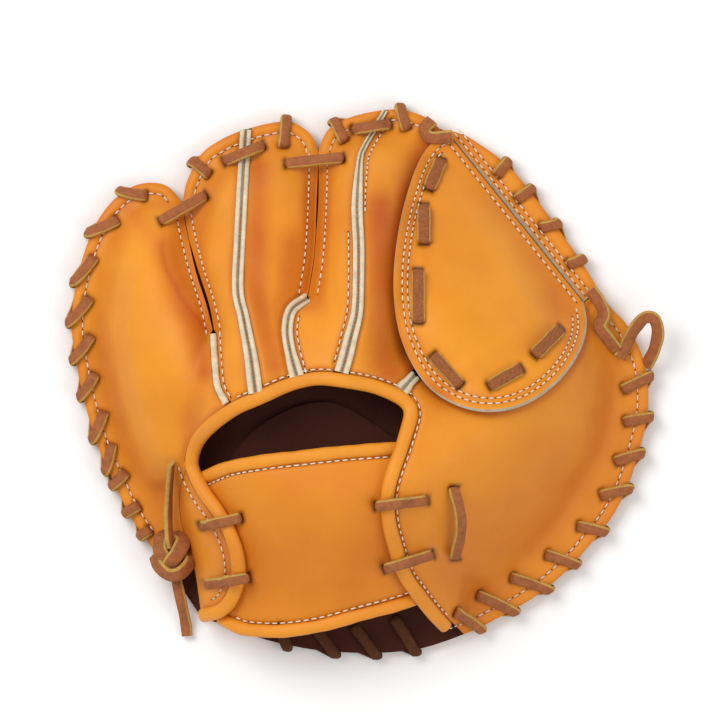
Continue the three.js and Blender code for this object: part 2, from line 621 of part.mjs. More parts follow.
const LITTLE_TIP = place({ x: -0.90, y: 0.60 });
const littleStart = place({ x: -0.69, y: -0.66 });
const tabOutside = beside(tabEdge, SEAM_GAP);
const littleLeft = stretch(littleRim, littleStart, LITTLE_TIP);
const littleBottomEnd = tabOutside[nearestIndex(tabOutside, place({ x: -0.61, y: -0.60 }))];
const littleRight = [
  ...stretch(tabOutside, littleBottomEnd, last(tabOutside)),
  ...stretch(openingOutside, last(tabOutside), first(welts.little)),
  ...littleSeam(1)];
const littleGrid = spread(closed({
  left: littleLeft,
  right: littleRight,
  bottom: [first(littleLeft), littleBottomEnd],
  top: stretch(littleRim, LITTLE_TIP, last(littleRim)) }), PANEL_ACROSS, PANEL_ALONG + 3);

function fingerGrid(left, right, rim, rimFrom, rimTo) {
  return spread(closed({
    left,
    right,
    bottom: stretch(openingOutside, first(left), first(right)),
    top: stretch(rim, rimFrom, rimTo) }), PANEL_ACROSS - 1, PANEL_ALONG);
}
const middleOuterGrid = fingerGrid(
  littleSeam(-1), middleSeam(1), middleRim, first(middleRim), last(middleSeam(1)));
const middleInnerGrid = fingerGrid(
  middleSeam(-1), knuckleSeam(1), middleRim, last(middleSeam(-1)), last(middleRim));
const indexOuterGrid = fingerGrid(
  knuckleSeam(-1), indexSeam(1), indexRim, first(indexRim), last(indexSeam(1)));
const CROTCH_STEPS = 8;
const underWeb = [...crotchSeam(1), ...drawn(INDEX_UNDER_WEB).slice(CROTCH_STEPS)];
const indexInnerGrid = fingerGrid(
  indexSeam(-1), underWeb, indexRim, last(indexSeam(-1)), last(indexRim));

const THUMB_CORNER = place({ x: 0.78, y: -0.625 });
const THUMB_HEEL = place({ x: 0.365, y: -0.93 });
const THUMB_START = place({ x: 0.212, y: -0.074 });
const thumbLeft = [...stretch(openingOutside, last(openingOutside), THUMB_START), ...crotchSeam(-1)];
const thumbGrid = spread(closed({
  left: thumbLeft,
  right: stretch(thumbRim, THUMB_CORNER, first(thumbRim)),
  bottom: stretch(reversed(thumbRim), THUMB_HEEL, THUMB_CORNER),
  top: drawn(THUMB_UNDER_WEB).slice(CROTCH_STEPS) }), PANEL_ACROSS + 3, PANEL_ALONG);

const webEdge = drawn(WEB_EDGE);
const WEB_CORNER = place({ x: 0.775, y: 0.29 });
const WEB_SIDE = place({ x: 0.14, y: 0.15 });
const foldInside = beside(drawn(WEB_FOLD), -GAP / 2);
const foldOutside = beside(drawn(WEB_FOLD), GAP / 2);
const webGrid = spread(closed({
  left: stretch(webEdge, WEB_SIDE, first(webEdge)),
  right: stretch(foldInside, WEB_CORNER, first(foldInside)),
  bottom: stretch(webEdge, WEB_SIDE, last(webEdge)),
  top: [first(webEdge), first(foldInside)] }), PANEL_ACROSS + 2, PANEL_ALONG - 1);
const bandGrid = spread(closed({
  left: foldOutside,
  right: webRim,
  bottom: [first(foldOutside), first(webRim)],
  top: [last(foldOutside), last(webRim)] }), 2, PANEL_ALONG);

const tabGrid = spread({
  left: stretch(tabEdge, first(tabEdge), last(tabEdge)),
  right: stretch(openingOutside, first(openingOutside), last(tabEdge)),
  bottom: [first(tabEdge), first(openingOutside)],
  top: [last(tabEdge), openingOutside[nearestIndex(openingOutside, last(tabEdge))]] }, 3, PANEL_ALONG - 1);

// Polar grid of the palm: a point at the crown and rings that grow into the rim.
const PALM_RINGS = [0.28, 0.48, 0.65, 0.80, 0.92, 1];
function palmSolid() {
  const loop = rimLoop(1);
  const count = loop.length;
  const ringPoints = PALM_RINGS.flatMap((share) => loop.map((p) => CROWN.clone().lerp(p, share)));
  const layer = (height) => [CROWN, ...ringPoints].map((p) => at(p, height(p)));
  const positions = [...layer(palmTop), ...layer(palmUnder)];
  const lower = ringPoints.length + 1;
  const corner = (ring, i) => 1 + ring * count + (i % count);
  const outermost = PALM_RINGS.length - 1;
  const indices = [];
  for (let i = 0; i < count; i += 1) {
    const [left, right] = [corner(0, i), corner(0, i + 1)];
    indices.push(0, right, left, lower, lower + left, lower + right);
    for (let ring = 0; ring < outermost; ring += 1) {
      const [a, b] = [corner(ring, i), corner(ring, i + 1)];
      const [c, d] = [corner(ring + 1, i + 1), corner(ring + 1, i)];
      indices.push(a, b, c, a, c, d, lower + a, lower + c, lower + b, lower + a, lower + d, lower + c);
    }
    const [e, f] = [corner(outermost, i), corner(outermost, i + 1)];
    indices.push(e, f, lower + f, e, lower + f, lower + e);
  }
  return solid(positions, indices);
}

// The wrist strap lies one layer below the tab and the thumb panel and tucks under both.
const strapTop = (point) => backUnder(point) - GAP - STRAP_DROP;
const strapUnder = (point) => strapTop(point) - STRAP_LEATHER * steepness(backUnder, point);
const strapRollTop = drawn(STRAP_TOP);
const strapRollBottom = drawn(STRAP_BOTTOM);
const strapTopEdge = beside(strapRollTop, -(STRAP_ROLL / 2 + GAP));
const strapBottomEdge = beside(strapRollBottom, STRAP_ROLL / 2 + GAP);
const tucked = beside(opening, STRAP_TUCK);
const strapGrid = spread(closed({
  left: stretch(tucked, first(strapBottomEdge), first(strapTopEdge)),
  right: stretch(tucked, last(strapBottomEdge), last(strapTopEdge)),
  bottom: strapBottomEdge,
  top: strapTopEdge }), PANEL_ALONG - 1, PANEL_ACROSS - 2);

const LINING_EDGE = {
  left: outline([[-0.44, -0.81], [-0.44, -0.70], [-0.47, -0.50], [-0.50, -0.36]]),
  right: outline([[0.17, -0.83], [0.16, -0.70], [0.14, -0.45], [0.16, -0.24]]),
  bottom: outline([[-0.44, -0.81], [-0.28, -0.835], [-0.03, -0.845], [0.17, -0.83]]),
  top: outline([[-0.50, -0.36], [-0.34, -0.16], [-0.10, -0.08], [0.16, -0.24]]) };
const liningGrid = spread({
  left: drawn(LINING_EDGE.left),
  right: drawn(LINING_EDGE.right),
  bottom: drawn(LINING_EDGE.bottom),
  top: drawn(LINING_EDGE.top) }, PANEL_ACROSS - 1, PANEL_ACROSS);
const liningUnder = (point) => palmTop(point) + LINING_GAP;
const liningTop = (point) => liningUnder(point) + LINING_THICKNESS;

// Heights that rolls, welts and laces follow.
const openingHeight = (p) => Math.max(
  backTop(p) - BACK_LEATHER / 2, palmTop(p) + GAP + BINDING_HEIGHT / 2);
const weltHeight = (p) => backTop(p) - WELT_SINK;
const strapRollHeight = (p) => (strapTop(p) + strapUnder(p)) / 2;

// Upper surface near the opening: tab or panel outside, the roll on its edge, the strap inside.
function overOpening(point) {
  const index = nearestIndex(opening, point);
  const arm = point.clone().sub(opening[index]);
  const away = arm.length();
  const hump = away < rollReach + LACE_THICKNESS ? openingHeight(opening[index]) + BINDING_HEIGHT / 2 : 0;
  const outside = tangentAt(opening, index).cross(arm) > 0;
  return Math.max(hump, outside ? backTop(point) : strapTop(point));
}

const endPoint = (row) => place({ x: row.endX, y: row.endY });
const laceStrip = strip(LACE_WIDTH, LACE_THICKNESS);

const group = new THREE.Group();
const leather = (color, roughness = 0.55) => new THREE.MeshStandardMaterial({ color, roughness, metalness: 0 });
const TAN = leather(0xd9852c);
const LACE_BROWN = leather(0xa3623c, 0.7);
const PIPING_GREY = leather(0xc2c2b0, 0.8);
const DARK_INSIDE = leather(0x40170f, 0.8);
const pieces = {};
const cutters = [];
const put = (name, geometry, material) => {
  pieces[name] = { geometry, material };
};

const inflated = {};
function putLace(name, lace, width) {
  put(name, sweep(lace.path, lace.ups, strip(width, LACE_THICKNESS)), LACE_BROWN);
  inflated[name] = sweep(lace.path, lace.ups, strip(width + 2 * GAP, LACE_THICKNESS + 2 * GAP));
  cutters.push(...lace.slots);
}

put('palm', palmSolid(), TAN);
put('palm_lining', panel(liningGrid, liningTop, liningUnder), DARK_INSIDE);
put('little_finger_back', panel(littleGrid, backTop, backUnder), TAN);
put('middle_finger_outer_back', panel(middleOuterGrid, backTop, backUnder), TAN);
put('middle_finger_inner_back', panel(middleInnerGrid, backTop, backUnder), TAN);
put('index_finger_outer_back', panel(indexOuterGrid, backTop, backUnder), TAN);
put('index_finger_inner_back', panel(indexInnerGrid, backTop, backUnder), TAN);
put('thumb_back', panel(thumbGrid, backTop, backUnder), TAN);
put('web_panel', panel(webGrid, webTop, webUnder), TAN);
put('web_rim_band', panel(bandGrid, backTop, backUnder), TAN);
put('wrist_tab', panel(tabGrid, backTop, backUnder), TAN);
put('wrist_strap', panel(strapGrid, strapTop, strapUnder), TAN);

const openingPath = resample(opening, 32);
put('opening_binding', rollAlong(openingPath, openingHeight, roll(BINDING_WIDTH, BINDING_HEIGHT)), TAN);
const strapRoll = roll(STRAP_ROLL, STRAP_ROLL * 0.8);
put('strap_top_binding', rollAlong(resample(strapRollTop, 10), strapRollHeight, strapRoll), TAN);
put('strap_bottom_binding', rollAlong(resample(strapRollBottom, 10), strapRollHeight, strapRoll), TAN);

const single = roll(SINGLE_WELT, WELT_HEIGHT);
const double = doubleRoll(DOUBLE_WELT, WELT_HEIGHT);
const WELT_STEPS = { little: 5, middle: 10, knuckle: 7, index: 10, crotch: 3 };
const crotchPath = resample(welts.crotch.slice(0, 46), WELT_STEPS.crotch);
const weltPath = (name) => resample(welts[name], WELT_STEPS[name]);
put('welt_little_finger', rollAlong(weltPath('little'), weltHeight, single), PIPING_GREY);
put('welt_middle_finger', rollAlong(weltPath('middle'), weltHeight, double), PIPING_GREY);
put('welt_knuckle', rollAlong(weltPath('knuckle'), weltHeight, double), PIPING_GREY);
put('welt_index_finger', rollAlong(weltPath('index'), weltHeight, double), PIPING_GREY);
put('welt_thumb_crotch', rollAlong(crotchPath, weltHeight, double), PIPING_GREY);

const RUNS = {
  little: LITTLE_STITCHES,
  middle: MIDDLE_STITCHES,
  index: INDEX_STITCHES,
  web: WEB_STITCHES,
  thumb: THUMB_STITCHES };
Object.entries(RUNS).forEach(([name, rows]) => putLace(
  `rim_lace_${name}`, whip(rows, backTop), LACE_WIDTH));
putLace('rim_lace_heel', whip(HEEL_STITCHES, palmTop), LACE_WIDTH);

// How high each kind of bar stands off the leather in its middle.
const WEB_LEG = LEG + WEB_LEATHER + LAP_GAP;
const STRAP_LEG = LEG + 2;
const putBars = (name, rows, height, arch, leg, steps, width = LACE_WIDTH) => rows.forEach(
  (row, index) => putLace(
    `${name}_${index + 1}`, staple(place(row), endPoint(row), width, height, arch, leg, steps), width));
putBars('web_lace', WEB_BARS, webTop, -0.25, WEB_LEG, STAPLE_STEPS, WEB_LACE_WIDTH);
putBars('finger_gap_lace', GAP_BARS, backTop, 0.6, LEG, STAPLE_STEPS);
putBars('fingertip_lace', WELT_BARS, backTop, WELT_HEIGHT * 1.5, LEG, LONG_STAPLE_STEPS);
putBars('strap_lace', STRAP_BARS, overOpening, 0.8, STRAP_LEG, LONG_STAPLE_STEPS);
putBars('thumb_lace', THUMB_BAR, backTop, 2, LEG, STAPLE_STEPS);

// A lace that runs free over the leather. Columns: x, y and the height over the leather.
const free = (rows) => table(['x', 'y', 'over'], rows);
const CORNER_LACE = free([[0.25, 0.96, 1.5], [0.225, 0.925, 2.2], [0.245, 0.895, 4.2], [0.32, 0.90, 5.6]]);
const LOOP_INNER = free([
  [0.80, 0.335, 1.8], [0.83, 0.29, 2.2], [0.845, 0.245, 2.2], [0.835, 0.20, 2.4], [0.86, 0.165, 2],
  [0.87, 0.14, 1.6]]);
const LOOP_OUTER = free([
  [0.895, 0.075, 1], [0.915, 0.13, 2.5], [0.95, 0.19, 6], [0.985, 0.235, 9], [1.02, 0.225, 10],
  [1.04, 0.17, 8], [1.045, 0.115, 5], [1.035, 0.07, 1.5]]);
const KNOT = place({ x: -0.645, y: -0.655 });
const KNOT_LEFT = free([
  [-0.70, -0.56, 0.20], [-0.685, -0.61, 0.45], [-0.645, -0.66, 0.5], [-0.615, -0.705, 0.25]]);
const KNOT_RIGHT = free([
  [-0.615, -0.56, 1.5], [-0.62, -0.61, 1.3], [-0.645, -0.665, 1], [-0.675, -0.715, 0.35]]);
const KNOT_WRAP = free([
  [-0.70, -0.665, 0.25], [-0.67, -0.69, 0.8], [-0.63, -0.685, 1.2], [-0.60, -0.66, 1.2]]);
const TAIL_UP = outline([
  [-0.665, -0.545], [-0.665, -0.48], [-0.66, -0.42], [-0.655, -0.36], [-0.65, -0.30]]);
const TAIL_DOWN = outline([
  [-0.64, -0.715], [-0.628, -0.77], [-0.615, -0.835], [-0.605, -0.89], [-0.60, -0.94]]);

const NORTH = new THREE.Vector3(0, 1, 0);
const levelOver = (point, over) => liftOver(backTop, point, NORTH, LACE_WIDTH) + over - GAP;
const laceSpline = (rows, steps, height) => new THREE.CatmullRomCurve3(
  rows.map((row) => at(place(row), height(place(row), row.over)))).getPoints(steps);
const ribbon = (path) => sweep(path, path.map(() => UP), laceStrip);
put('web_corner_lace', ribbon(laceSpline(CORNER_LACE, 9, levelOver)), LACE_BROWN);
put('loop_lace_inner', ribbon(laceSpline(LOOP_INNER, 9, levelOver)), LACE_BROWN);
put('loop_lace_outer', ribbon(laceSpline(LOOP_OUTER, 12, levelOver)), LACE_BROWN);

const knotBase = backTop(KNOT) + SEAM_GAP + 2 * LACE_THICKNESS;
const knotLevel = (point, over) => knotBase + LACE_THICKNESS + over * KNOT_HEIGHT / 2;
const knotBand = (rows) => {
  const path = laceSpline(rows, 6, knotLevel);
  return sweep(path, path.map(() => UP), roll(KNOT_WIDTH / 2, LACE_THICKNESS * 2));
};

// Every lace passes the leather in a slot of its own size and clearance.
function toManifold(geometry) {
  return new wasm.Manifold(new wasm.Mesh({
    numProp: 3,
    vertProperties: geometry.attributes.position.array,
    triVerts: new Uint32Array(geometry.index.array) }));
}

function toGeometry(manifold) {
  const mesh = manifold.getMesh();
  const geometry = new THREE.BufferGeometry();
  geometry.setAttribute('position', new THREE.Float32BufferAttribute(mesh.vertProperties, 3));
  geometry.setIndex(Array.from(mesh.triVerts));
  return geometry;
}

put('knot', toGeometry([KNOT_LEFT, KNOT_RIGHT, KNOT_WRAP].map((rows) => toManifold(knotBand(rows)))
  .reduce((body, next) => body.add(next))), LACE_BROWN);

// The two ends that leave the knot lie on the leather and hang down past the rim.
const tailSection = new THREE.Shape(
  roll(TAIL_WIDTH, TAIL_WIDTH, TAIL_SIDES).map(([x, y]) => new THREE.Vector2(x, y)));
const DROOP_START = 9;
const DROOP_SPAN = 6;
function tailLevel(point) {
  const droop = smooth((inwards(point).depth + DROOP_START) / DROOP_SPAN);
  return liftOver(backTop, point, NORTH, 2 * TAIL_WIDTH) * droop + TAIL_WIDTH / 2 + GAP;
}
const tail = (rows) => new THREE.ExtrudeGeometry(tailSection, {
  steps: 5,
  bevelEnabled: false,
  extrudePath: new THREE.CatmullRomCurve3(rows.map((row) => at(place(row), tailLevel(place(row))))) });
put('lace_tail_upper', tail(TAIL_UP), LACE_BROWN);
put('lace_tail_lower', tail(TAIL_DOWN), LACE_BROWN);

function boxOf(geometry) {
  geometry.computeBoundingBox();
  return geometry.boundingBox;
}

function cut(name, tools) {
  const { geometry } = pieces[name];
  const touching = tools.filter((tool) => boxOf(tool).intersectsBox(boxOf(geometry)));
  const result = touching.reduce((body, tool) => body.subtract(toManifold(tool)), toManifold(geometry));
  pieces[name].geometry = toGeometry(result);
}

const LEATHER_NODES = Object.keys(pieces).filter(
  (name) => pieces[name].material === TAN || name === 'palm_lining');
LEATHER_NODES.forEach((name) => cut(name, cutters));
const weltRoom = (name) => rollAlong(
  weltPath(name), weltHeight, strip(DOUBLE_WELT + 2 * GAP, WELT_HEIGHT + 2 * GAP));
cut('middle_finger_inner_back', [weltRoom('knuckle')]);
cut('index_finger_outer_back', [weltRoom('knuckle')]);
cut('index_finger_inner_back', [weltRoom('index')]);

// Where a panel's facets still reach a lace, the panel gives way.
const PRESSED = {
  index_finger_outer_back: ['rim_lace_index', 'fingertip_lace_2'],
  index_finger_inner_back: ['rim_lace_index', 'fingertip_lace_2'] };
Object.entries(PRESSED).forEach(([name, laces]) => cut(name, laces.map((lace) => inflated[lace])));
const bindingRoom = rollAlong(
  openingPath, openingHeight, roll(BINDING_WIDTH + 2 * GAP, BINDING_HEIGHT + 2 * GAP));
['strap_top_binding', 'strap_bottom_binding', 'wrist_tab'].forEach((name) => cut(name, [bindingRoom]));

Object.entries(pieces).forEach(([name, { geometry, material }]) => {
  const mesh = new THREE.Mesh(geometry, material);
  mesh.name = name;
  group.add(mesh);
});

// The origin is under the middle of the glove, on the surface that it lies on.
const whole = new THREE.Box3().setFromObject(group);
const middle = whole.getCenter(new THREE.Vector3());
group.position.set(-middle.x, -middle.y, -whole.min.z);

export default group;
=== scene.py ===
"""Dressed model of a small round leather training glove, lying palm down with its open back up.

Every size is in metres, in the frame of the CAD model: +Z up, finger tips towards +Y, web towards +X.
"""

import math

import bpy
import numpy as np
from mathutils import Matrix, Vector


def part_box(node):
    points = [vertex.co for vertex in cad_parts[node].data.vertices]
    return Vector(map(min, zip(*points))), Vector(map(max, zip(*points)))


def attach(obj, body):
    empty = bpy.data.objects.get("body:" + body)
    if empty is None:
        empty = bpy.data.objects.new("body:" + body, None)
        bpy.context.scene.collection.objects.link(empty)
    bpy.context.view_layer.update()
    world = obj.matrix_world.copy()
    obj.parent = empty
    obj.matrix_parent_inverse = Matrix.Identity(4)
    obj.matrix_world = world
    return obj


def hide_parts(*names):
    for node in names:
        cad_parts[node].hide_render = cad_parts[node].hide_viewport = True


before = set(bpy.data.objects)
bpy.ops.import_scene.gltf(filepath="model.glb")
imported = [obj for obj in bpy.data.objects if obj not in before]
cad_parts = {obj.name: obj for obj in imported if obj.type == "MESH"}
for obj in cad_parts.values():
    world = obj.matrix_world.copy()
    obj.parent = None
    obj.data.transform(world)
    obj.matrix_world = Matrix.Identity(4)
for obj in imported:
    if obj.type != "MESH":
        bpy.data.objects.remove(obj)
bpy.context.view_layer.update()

bl_info = {
    "name": "Leather training glove",
    "version": (1, 0, 0),
    "blender": (4, 5, 0),
    "location": "View3D > Sidebar > Glove",
    "description": "Builds a laced leather glove piece by piece on its CAD frame",
    "category": "Object",
}

MM = 0.001

# Steps of every plan path, directions in which the rim's reach is kept, and windows that smooth curves.
PATH_STEPS = 160
RIM_DIRECTIONS = 720
RIM_WINDOW = 43
ROOM_WINDOW = 31

# Plan outlines. Columns: x and y as shares of the half width and the half length.
RIMS = {
    "little": (
        (-0.55, -0.87), (-0.66, -0.70), (-0.73, -0.60), (-0.80, -0.49), (-0.86, -0.36), (-0.91, -0.24),
        (-0.95, -0.10), (-0.98, 0.04), (-1.00, 0.19), (-0.99, 0.33), (-0.96, 0.46), (-0.92, 0.57),
        (-0.865, 0.655), (-0.80, 0.71), (-0.73, 0.73), (-0.665, 0.715), (-0.615, 0.655)),
    "middle": (
        (-0.615, 0.655), (-0.60, 0.735), (-0.55, 0.835), (-0.485, 0.885), (-0.41, 0.92), (-0.33, 0.945),
        (-0.25, 0.955), (-0.195, 0.93), (-0.16, 0.89), (-0.145, 0.84)),
    "index": (
        (-0.145, 0.84), (-0.13, 0.89), (-0.10, 0.935), (-0.035, 0.97), (0.04, 0.99), (0.12, 1.00),
        (0.18, 0.99), (0.235, 0.965), (0.28, 0.925)),
    "web": (
        (0.28, 0.925), (0.335, 0.915), (0.395, 0.885), (0.52, 0.785), (0.65, 0.615), (0.77, 0.435),
        (0.825, 0.34)),
    "thumb": (
        (0.825, 0.34), (0.87, 0.27), (0.92, 0.215), (0.96, 0.14), (0.99, 0.055), (1.00, -0.04),
        (0.995, -0.14), (0.97, -0.25), (0.935, -0.37), (0.88, -0.49), (0.80, -0.60), (0.71, -0.705),
        (0.605, -0.795), (0.50, -0.86), (0.40, -0.915), (0.305, -0.955)),
    "heel": (
        (0.305, -0.955), (0.21, -0.985), (0.09, -1.00), (-0.035, -1.00), (-0.155, -0.99), (-0.28, -0.965),
        (-0.38, -0.935), (-0.47, -0.90), (-0.55, -0.87)),
}
LINES = {
    "opening": (
        (-0.54, -0.86), (-0.48, -0.84), (-0.44, -0.79), (-0.42, -0.71), (-0.425, -0.63), (-0.45, -0.55),
        (-0.49, -0.475), (-0.535, -0.41), (-0.57, -0.34), (-0.58, -0.29), (-0.56, -0.22), (-0.51, -0.16),
        (-0.43, -0.10), (-0.345, -0.06), (-0.26, -0.02), (-0.20, 0.00), (-0.135, 0.01), (-0.045, 0.00),
        (0.05, -0.02), (0.13, -0.055), (0.165, -0.085), (0.175, -0.12), (0.165, -0.165), (0.14, -0.25),
        (0.11, -0.34), (0.095, -0.415), (0.10, -0.515), (0.12, -0.60), (0.15, -0.70), (0.20, -0.78),
        (0.255, -0.855), (0.295, -0.90)),
    "little_slit": (
        (-0.505, 0.185), (-0.525, 0.28), (-0.565, 0.41), (-0.60, 0.555), (-0.615, 0.655)),
    "little_welt": ((-0.465, -0.07), (-0.49, -0.015), (-0.50, 0.09), (-0.505, 0.17)),
    "middle_welt": (
        (-0.36, -0.03), (-0.375, 0.09), (-0.40, 0.23), (-0.42, 0.335), (-0.415, 0.505), (-0.405, 0.74),
        (-0.40, 0.845)),
    "middle_slit": ((-0.18, 0.31), (-0.16, 0.44), (-0.15, 0.59), (-0.145, 0.74), (-0.145, 0.84)),
    "knuckle_welt": ((-0.22, 0.03), (-0.24, 0.11), (-0.25, 0.19), (-0.235, 0.26), (-0.185, 0.30)),
    "index_welt": (
        (-0.06, 0.045), (-0.045, 0.10), (-0.03, 0.165), (-0.01, 0.255), (-0.005, 0.39), (-0.005, 0.505),
        (-0.01, 0.645), (0.00, 0.81), (0.015, 0.86), (0.03, 0.89)),
    "crotch_welt": ((0.15, -0.025), (0.18, 0.01), (0.225, 0.055)),
    "index_under_web": (
        (0.225, 0.055), (0.195, 0.26), (0.19, 0.445), (0.21, 0.63), (0.24, 0.775), (0.28, 0.925)),
    "thumb_under_web": (
        (0.225, 0.055), (0.27, 0.03), (0.355, -0.01), (0.465, -0.02), (0.57, 0.01), (0.665, 0.09),
        (0.74, 0.195), (0.79, 0.27), (0.845, 0.31)),
    "tab_edge": (
        (-0.55, -0.86), (-0.57, -0.71), (-0.59, -0.62), (-0.615, -0.535), (-0.625, -0.455),
        (-0.62, -0.385), (-0.59, -0.30)),
    "web_edge": (
        (0.31, 0.905), (0.265, 0.89), (0.21, 0.82), (0.165, 0.695), (0.13, 0.535), (0.115, 0.37),
        (0.125, 0.225), (0.155, 0.115), (0.21, 0.01), (0.28, -0.06), (0.38, -0.105), (0.485, -0.11),
        (0.59, -0.075), (0.69, 0.005), (0.76, 0.11), (0.785, 0.205), (0.775, 0.29)),
    "web_fold": ((0.31, 0.905), (0.775, 0.29)),
    "strap_top": (
        (-0.55, -0.36), (-0.45, -0.315), (-0.32, -0.29), (-0.20, -0.275), (-0.07, -0.26), (0.05, -0.25),
        (0.13, -0.245)),
    "strap_bottom": (
        (-0.48, -0.87), (-0.415, -0.905), (-0.35, -0.915), (-0.26, -0.915), (-0.135, -0.895),
        (-0.015, -0.86), (0.11, -0.825), (0.20, -0.795)),
}

# Ridges that a finger, the thumb or the hand lies under. Columns: x and y as above, left and right
# reach as shares of the half width, rise as a share of the named room.
RIDGES = (
    {"room": "finger_room", "peak": 2, "flank": 0.65, "fades": True, "rows": (
        (-0.76, 0.62, 0.16, 0.13, 0.70), (-0.80, 0.42, 0.18, 0.18, 0.85), (-0.78, 0.18, 0.20, 0.25, 0.95),
        (-0.75, -0.02, 0.20, 0.26, 0.95), (-0.70, -0.20, 0.18, 0.20, 0.75))},
    {"room": "finger_room", "peak": 1.35, "flank": 0.75, "fades": True, "rows": (
        (-0.39, 0.80, 0.19, 0.23, 0.75), (-0.41, 0.60, 0.17, 0.25, 0.95), (-0.42, 0.33, 0.11, 0.24, 1.05),
        (-0.38, 0.10, 0.12, 0.20, 1.20), (-0.35, -0.05, 0.16, 0.22, 1.25))},
    {"room": "finger_room", "peak": 1.35, "flank": 0.75, "fades": True, "rows": (
        (0.03, 0.86, 0.16, 0.20, 0.80), (-0.005, 0.60, 0.14, 0.22, 1.00), (-0.005, 0.36, 0.15, 0.22, 1.15),
        (-0.03, 0.16, 0.18, 0.22, 1.25), (-0.06, 0.02, 0.20, 0.24, 1.30))},
    {"room": "thumb_room", "peak": 1.5, "flank": 0.8, "fades": True, "rows": (
        (0.80, 0.12, 0.20, 0.14, 0.70), (0.66, 0.00, 0.22, 0.22, 0.95), (0.52, -0.10, 0.22, 0.34, 1.00),
        (0.34, -0.24, 0.24, 0.42, 1.00), (0.20, -0.38, 0.24, 0.46, 0.95))},
    {"room": "hand_room", "peak": 2.2, "flank": 0.55, "fades": False, "rows": (
        (-0.20, -0.12, 0.40, 0.40, 0.85), (-0.18, -0.40, 0.45, 0.60, 0.97), (-0.16, -0.70, 0.41, 0.53, 1.00),
        (-0.14, -1.10, 0.39, 0.43, 1.00))},
)
WEB_RIDGE = {"room": "web_fill", "peak": 2, "flank": 0.9, "fades": True, "rows": (
    (0.34, 0.70, 0.24, 0.24, 0.50), (0.34, 0.42, 0.30, 0.34, 0.90), (0.36, 0.20, 0.34, 0.40, 1.15),
    (0.44, 0.06, 0.30, 0.34, 1.00))}
BLEND_POWER = 5
WEB_SLACK = 1.12
ROOM_STEP = 0.5 * MM
ROOM_MARGIN = 1.2
CROWN = (-0.105, -0.05)
CROWN_SHARE = 0.36
FADE_SHARE = 0.2
PADDING_EDGE_SHARE = 0.86
MAX_STEEPNESS = 1.7

# Whip stitches of the rim. Columns: the hole, then the point where the lace crosses the rim.
WHIPS = {
    "little": (
        (-0.73, -0.55, -0.76, -0.575), (-0.77, -0.46, -0.81, -0.485), (-0.815, -0.34, -0.86, -0.39),
        (-0.862, -0.24, -0.885, -0.33), (-0.89, -0.12, -0.925, -0.21), (-0.92, 0.02, -0.97, -0.05),
        (-0.935, 0.16, -0.99, 0.08), (-0.94, 0.30, -1.00, 0.22), (-0.925, 0.45, -0.985, 0.37),
        (-0.845, 0.59, -0.935, 0.55), (-0.745, 0.682, -0.82, 0.695)),
    "middle": ((-0.525, 0.76, -0.575, 0.805), (-0.265, 0.865, -0.255, 0.955)),
    "index": ((-0.055, 0.885, -0.085, 0.95), (0.16, 0.93, 0.14, 1.00)),
    "web": (
        (0.475, 0.76, 0.505, 0.80), (0.545, 0.67, 0.59, 0.70), (0.63, 0.565, 0.68, 0.575),
        (0.725, 0.43, 0.765, 0.445)),
    "thumb": (
        (0.915, -0.03, 1.00, 0.01), (0.92, -0.15, 0.995, -0.13), (0.89, -0.295, 0.965, -0.27),
        (0.84, -0.42, 0.92, -0.40), (0.76, -0.535, 0.84, -0.545), (0.65, -0.64, 0.74, -0.67),
        (0.53, -0.725, 0.645, -0.765), (0.415, -0.79, 0.53, -0.845), (0.335, -0.85, 0.415, -0.905)),
    "heel": (
        (0.12, -0.875, 0.19, -0.985), (-0.02, -0.905, 0.05, -1.00), (-0.15, -0.92, -0.09, -0.995),
        (-0.285, -0.90, -0.25, -0.97)),
}

# Laces that show as bars. Columns: both ends.
BARS = {
    "web_lace": (
        (0.28, 0.81, 0.24, 0.71), (0.22, 0.64, 0.22, 0.51), (0.20, 0.40, 0.20, 0.22),
        (0.255, 0.09, 0.34, -0.01), (0.45, -0.015, 0.55, 0.045), (0.605, 0.10, 0.69, 0.19)),
    "finger_gap_lace": ((-0.54, 0.68, -0.685, 0.59), (-0.065, 0.82, -0.25, 0.80)),
    "fingertip_lace": ((-0.34, 0.865, -0.465, 0.81), (0.10, 0.945, -0.02, 0.925)),
    "strap_lace": (
        (-0.545, -0.53, -0.415, -0.50), (-0.53, -0.745, -0.39, -0.72), (0.06, -0.455, 0.225, -0.435),
        (0.09, -0.685, 0.245, -0.635)),
    "thumb_lace": ((0.33, -0.645, 0.325, -0.395),),
}

# Laces that run free. Columns: x, y and the height over the leather in millimetres.
FREE = {
    "web_corner_lace": ((0.25, 0.96, 1.5), (0.225, 0.925, 2.2), (0.245, 0.895, 4.2), (0.32, 0.90, 5.6)),
    "loop_lace_inner": (
        (0.80, 0.335, 1.8), (0.83, 0.29, 2.2), (0.845, 0.245, 2.2), (0.83, 0.20, 2.4), (0.86, 0.155, 2),
        (0.89, 0.115, 1.2)),
    "loop_lace_outer": (
        (0.90, 0.085, 1), (0.925, 0.14, 2.5), (0.95, 0.19, 6), (0.985, 0.232, 9), (1.018, 0.228, 10),
        (1.032, 0.18, 8), (1.02, 0.115, 4), (0.993, 0.055, -2.5)),
}
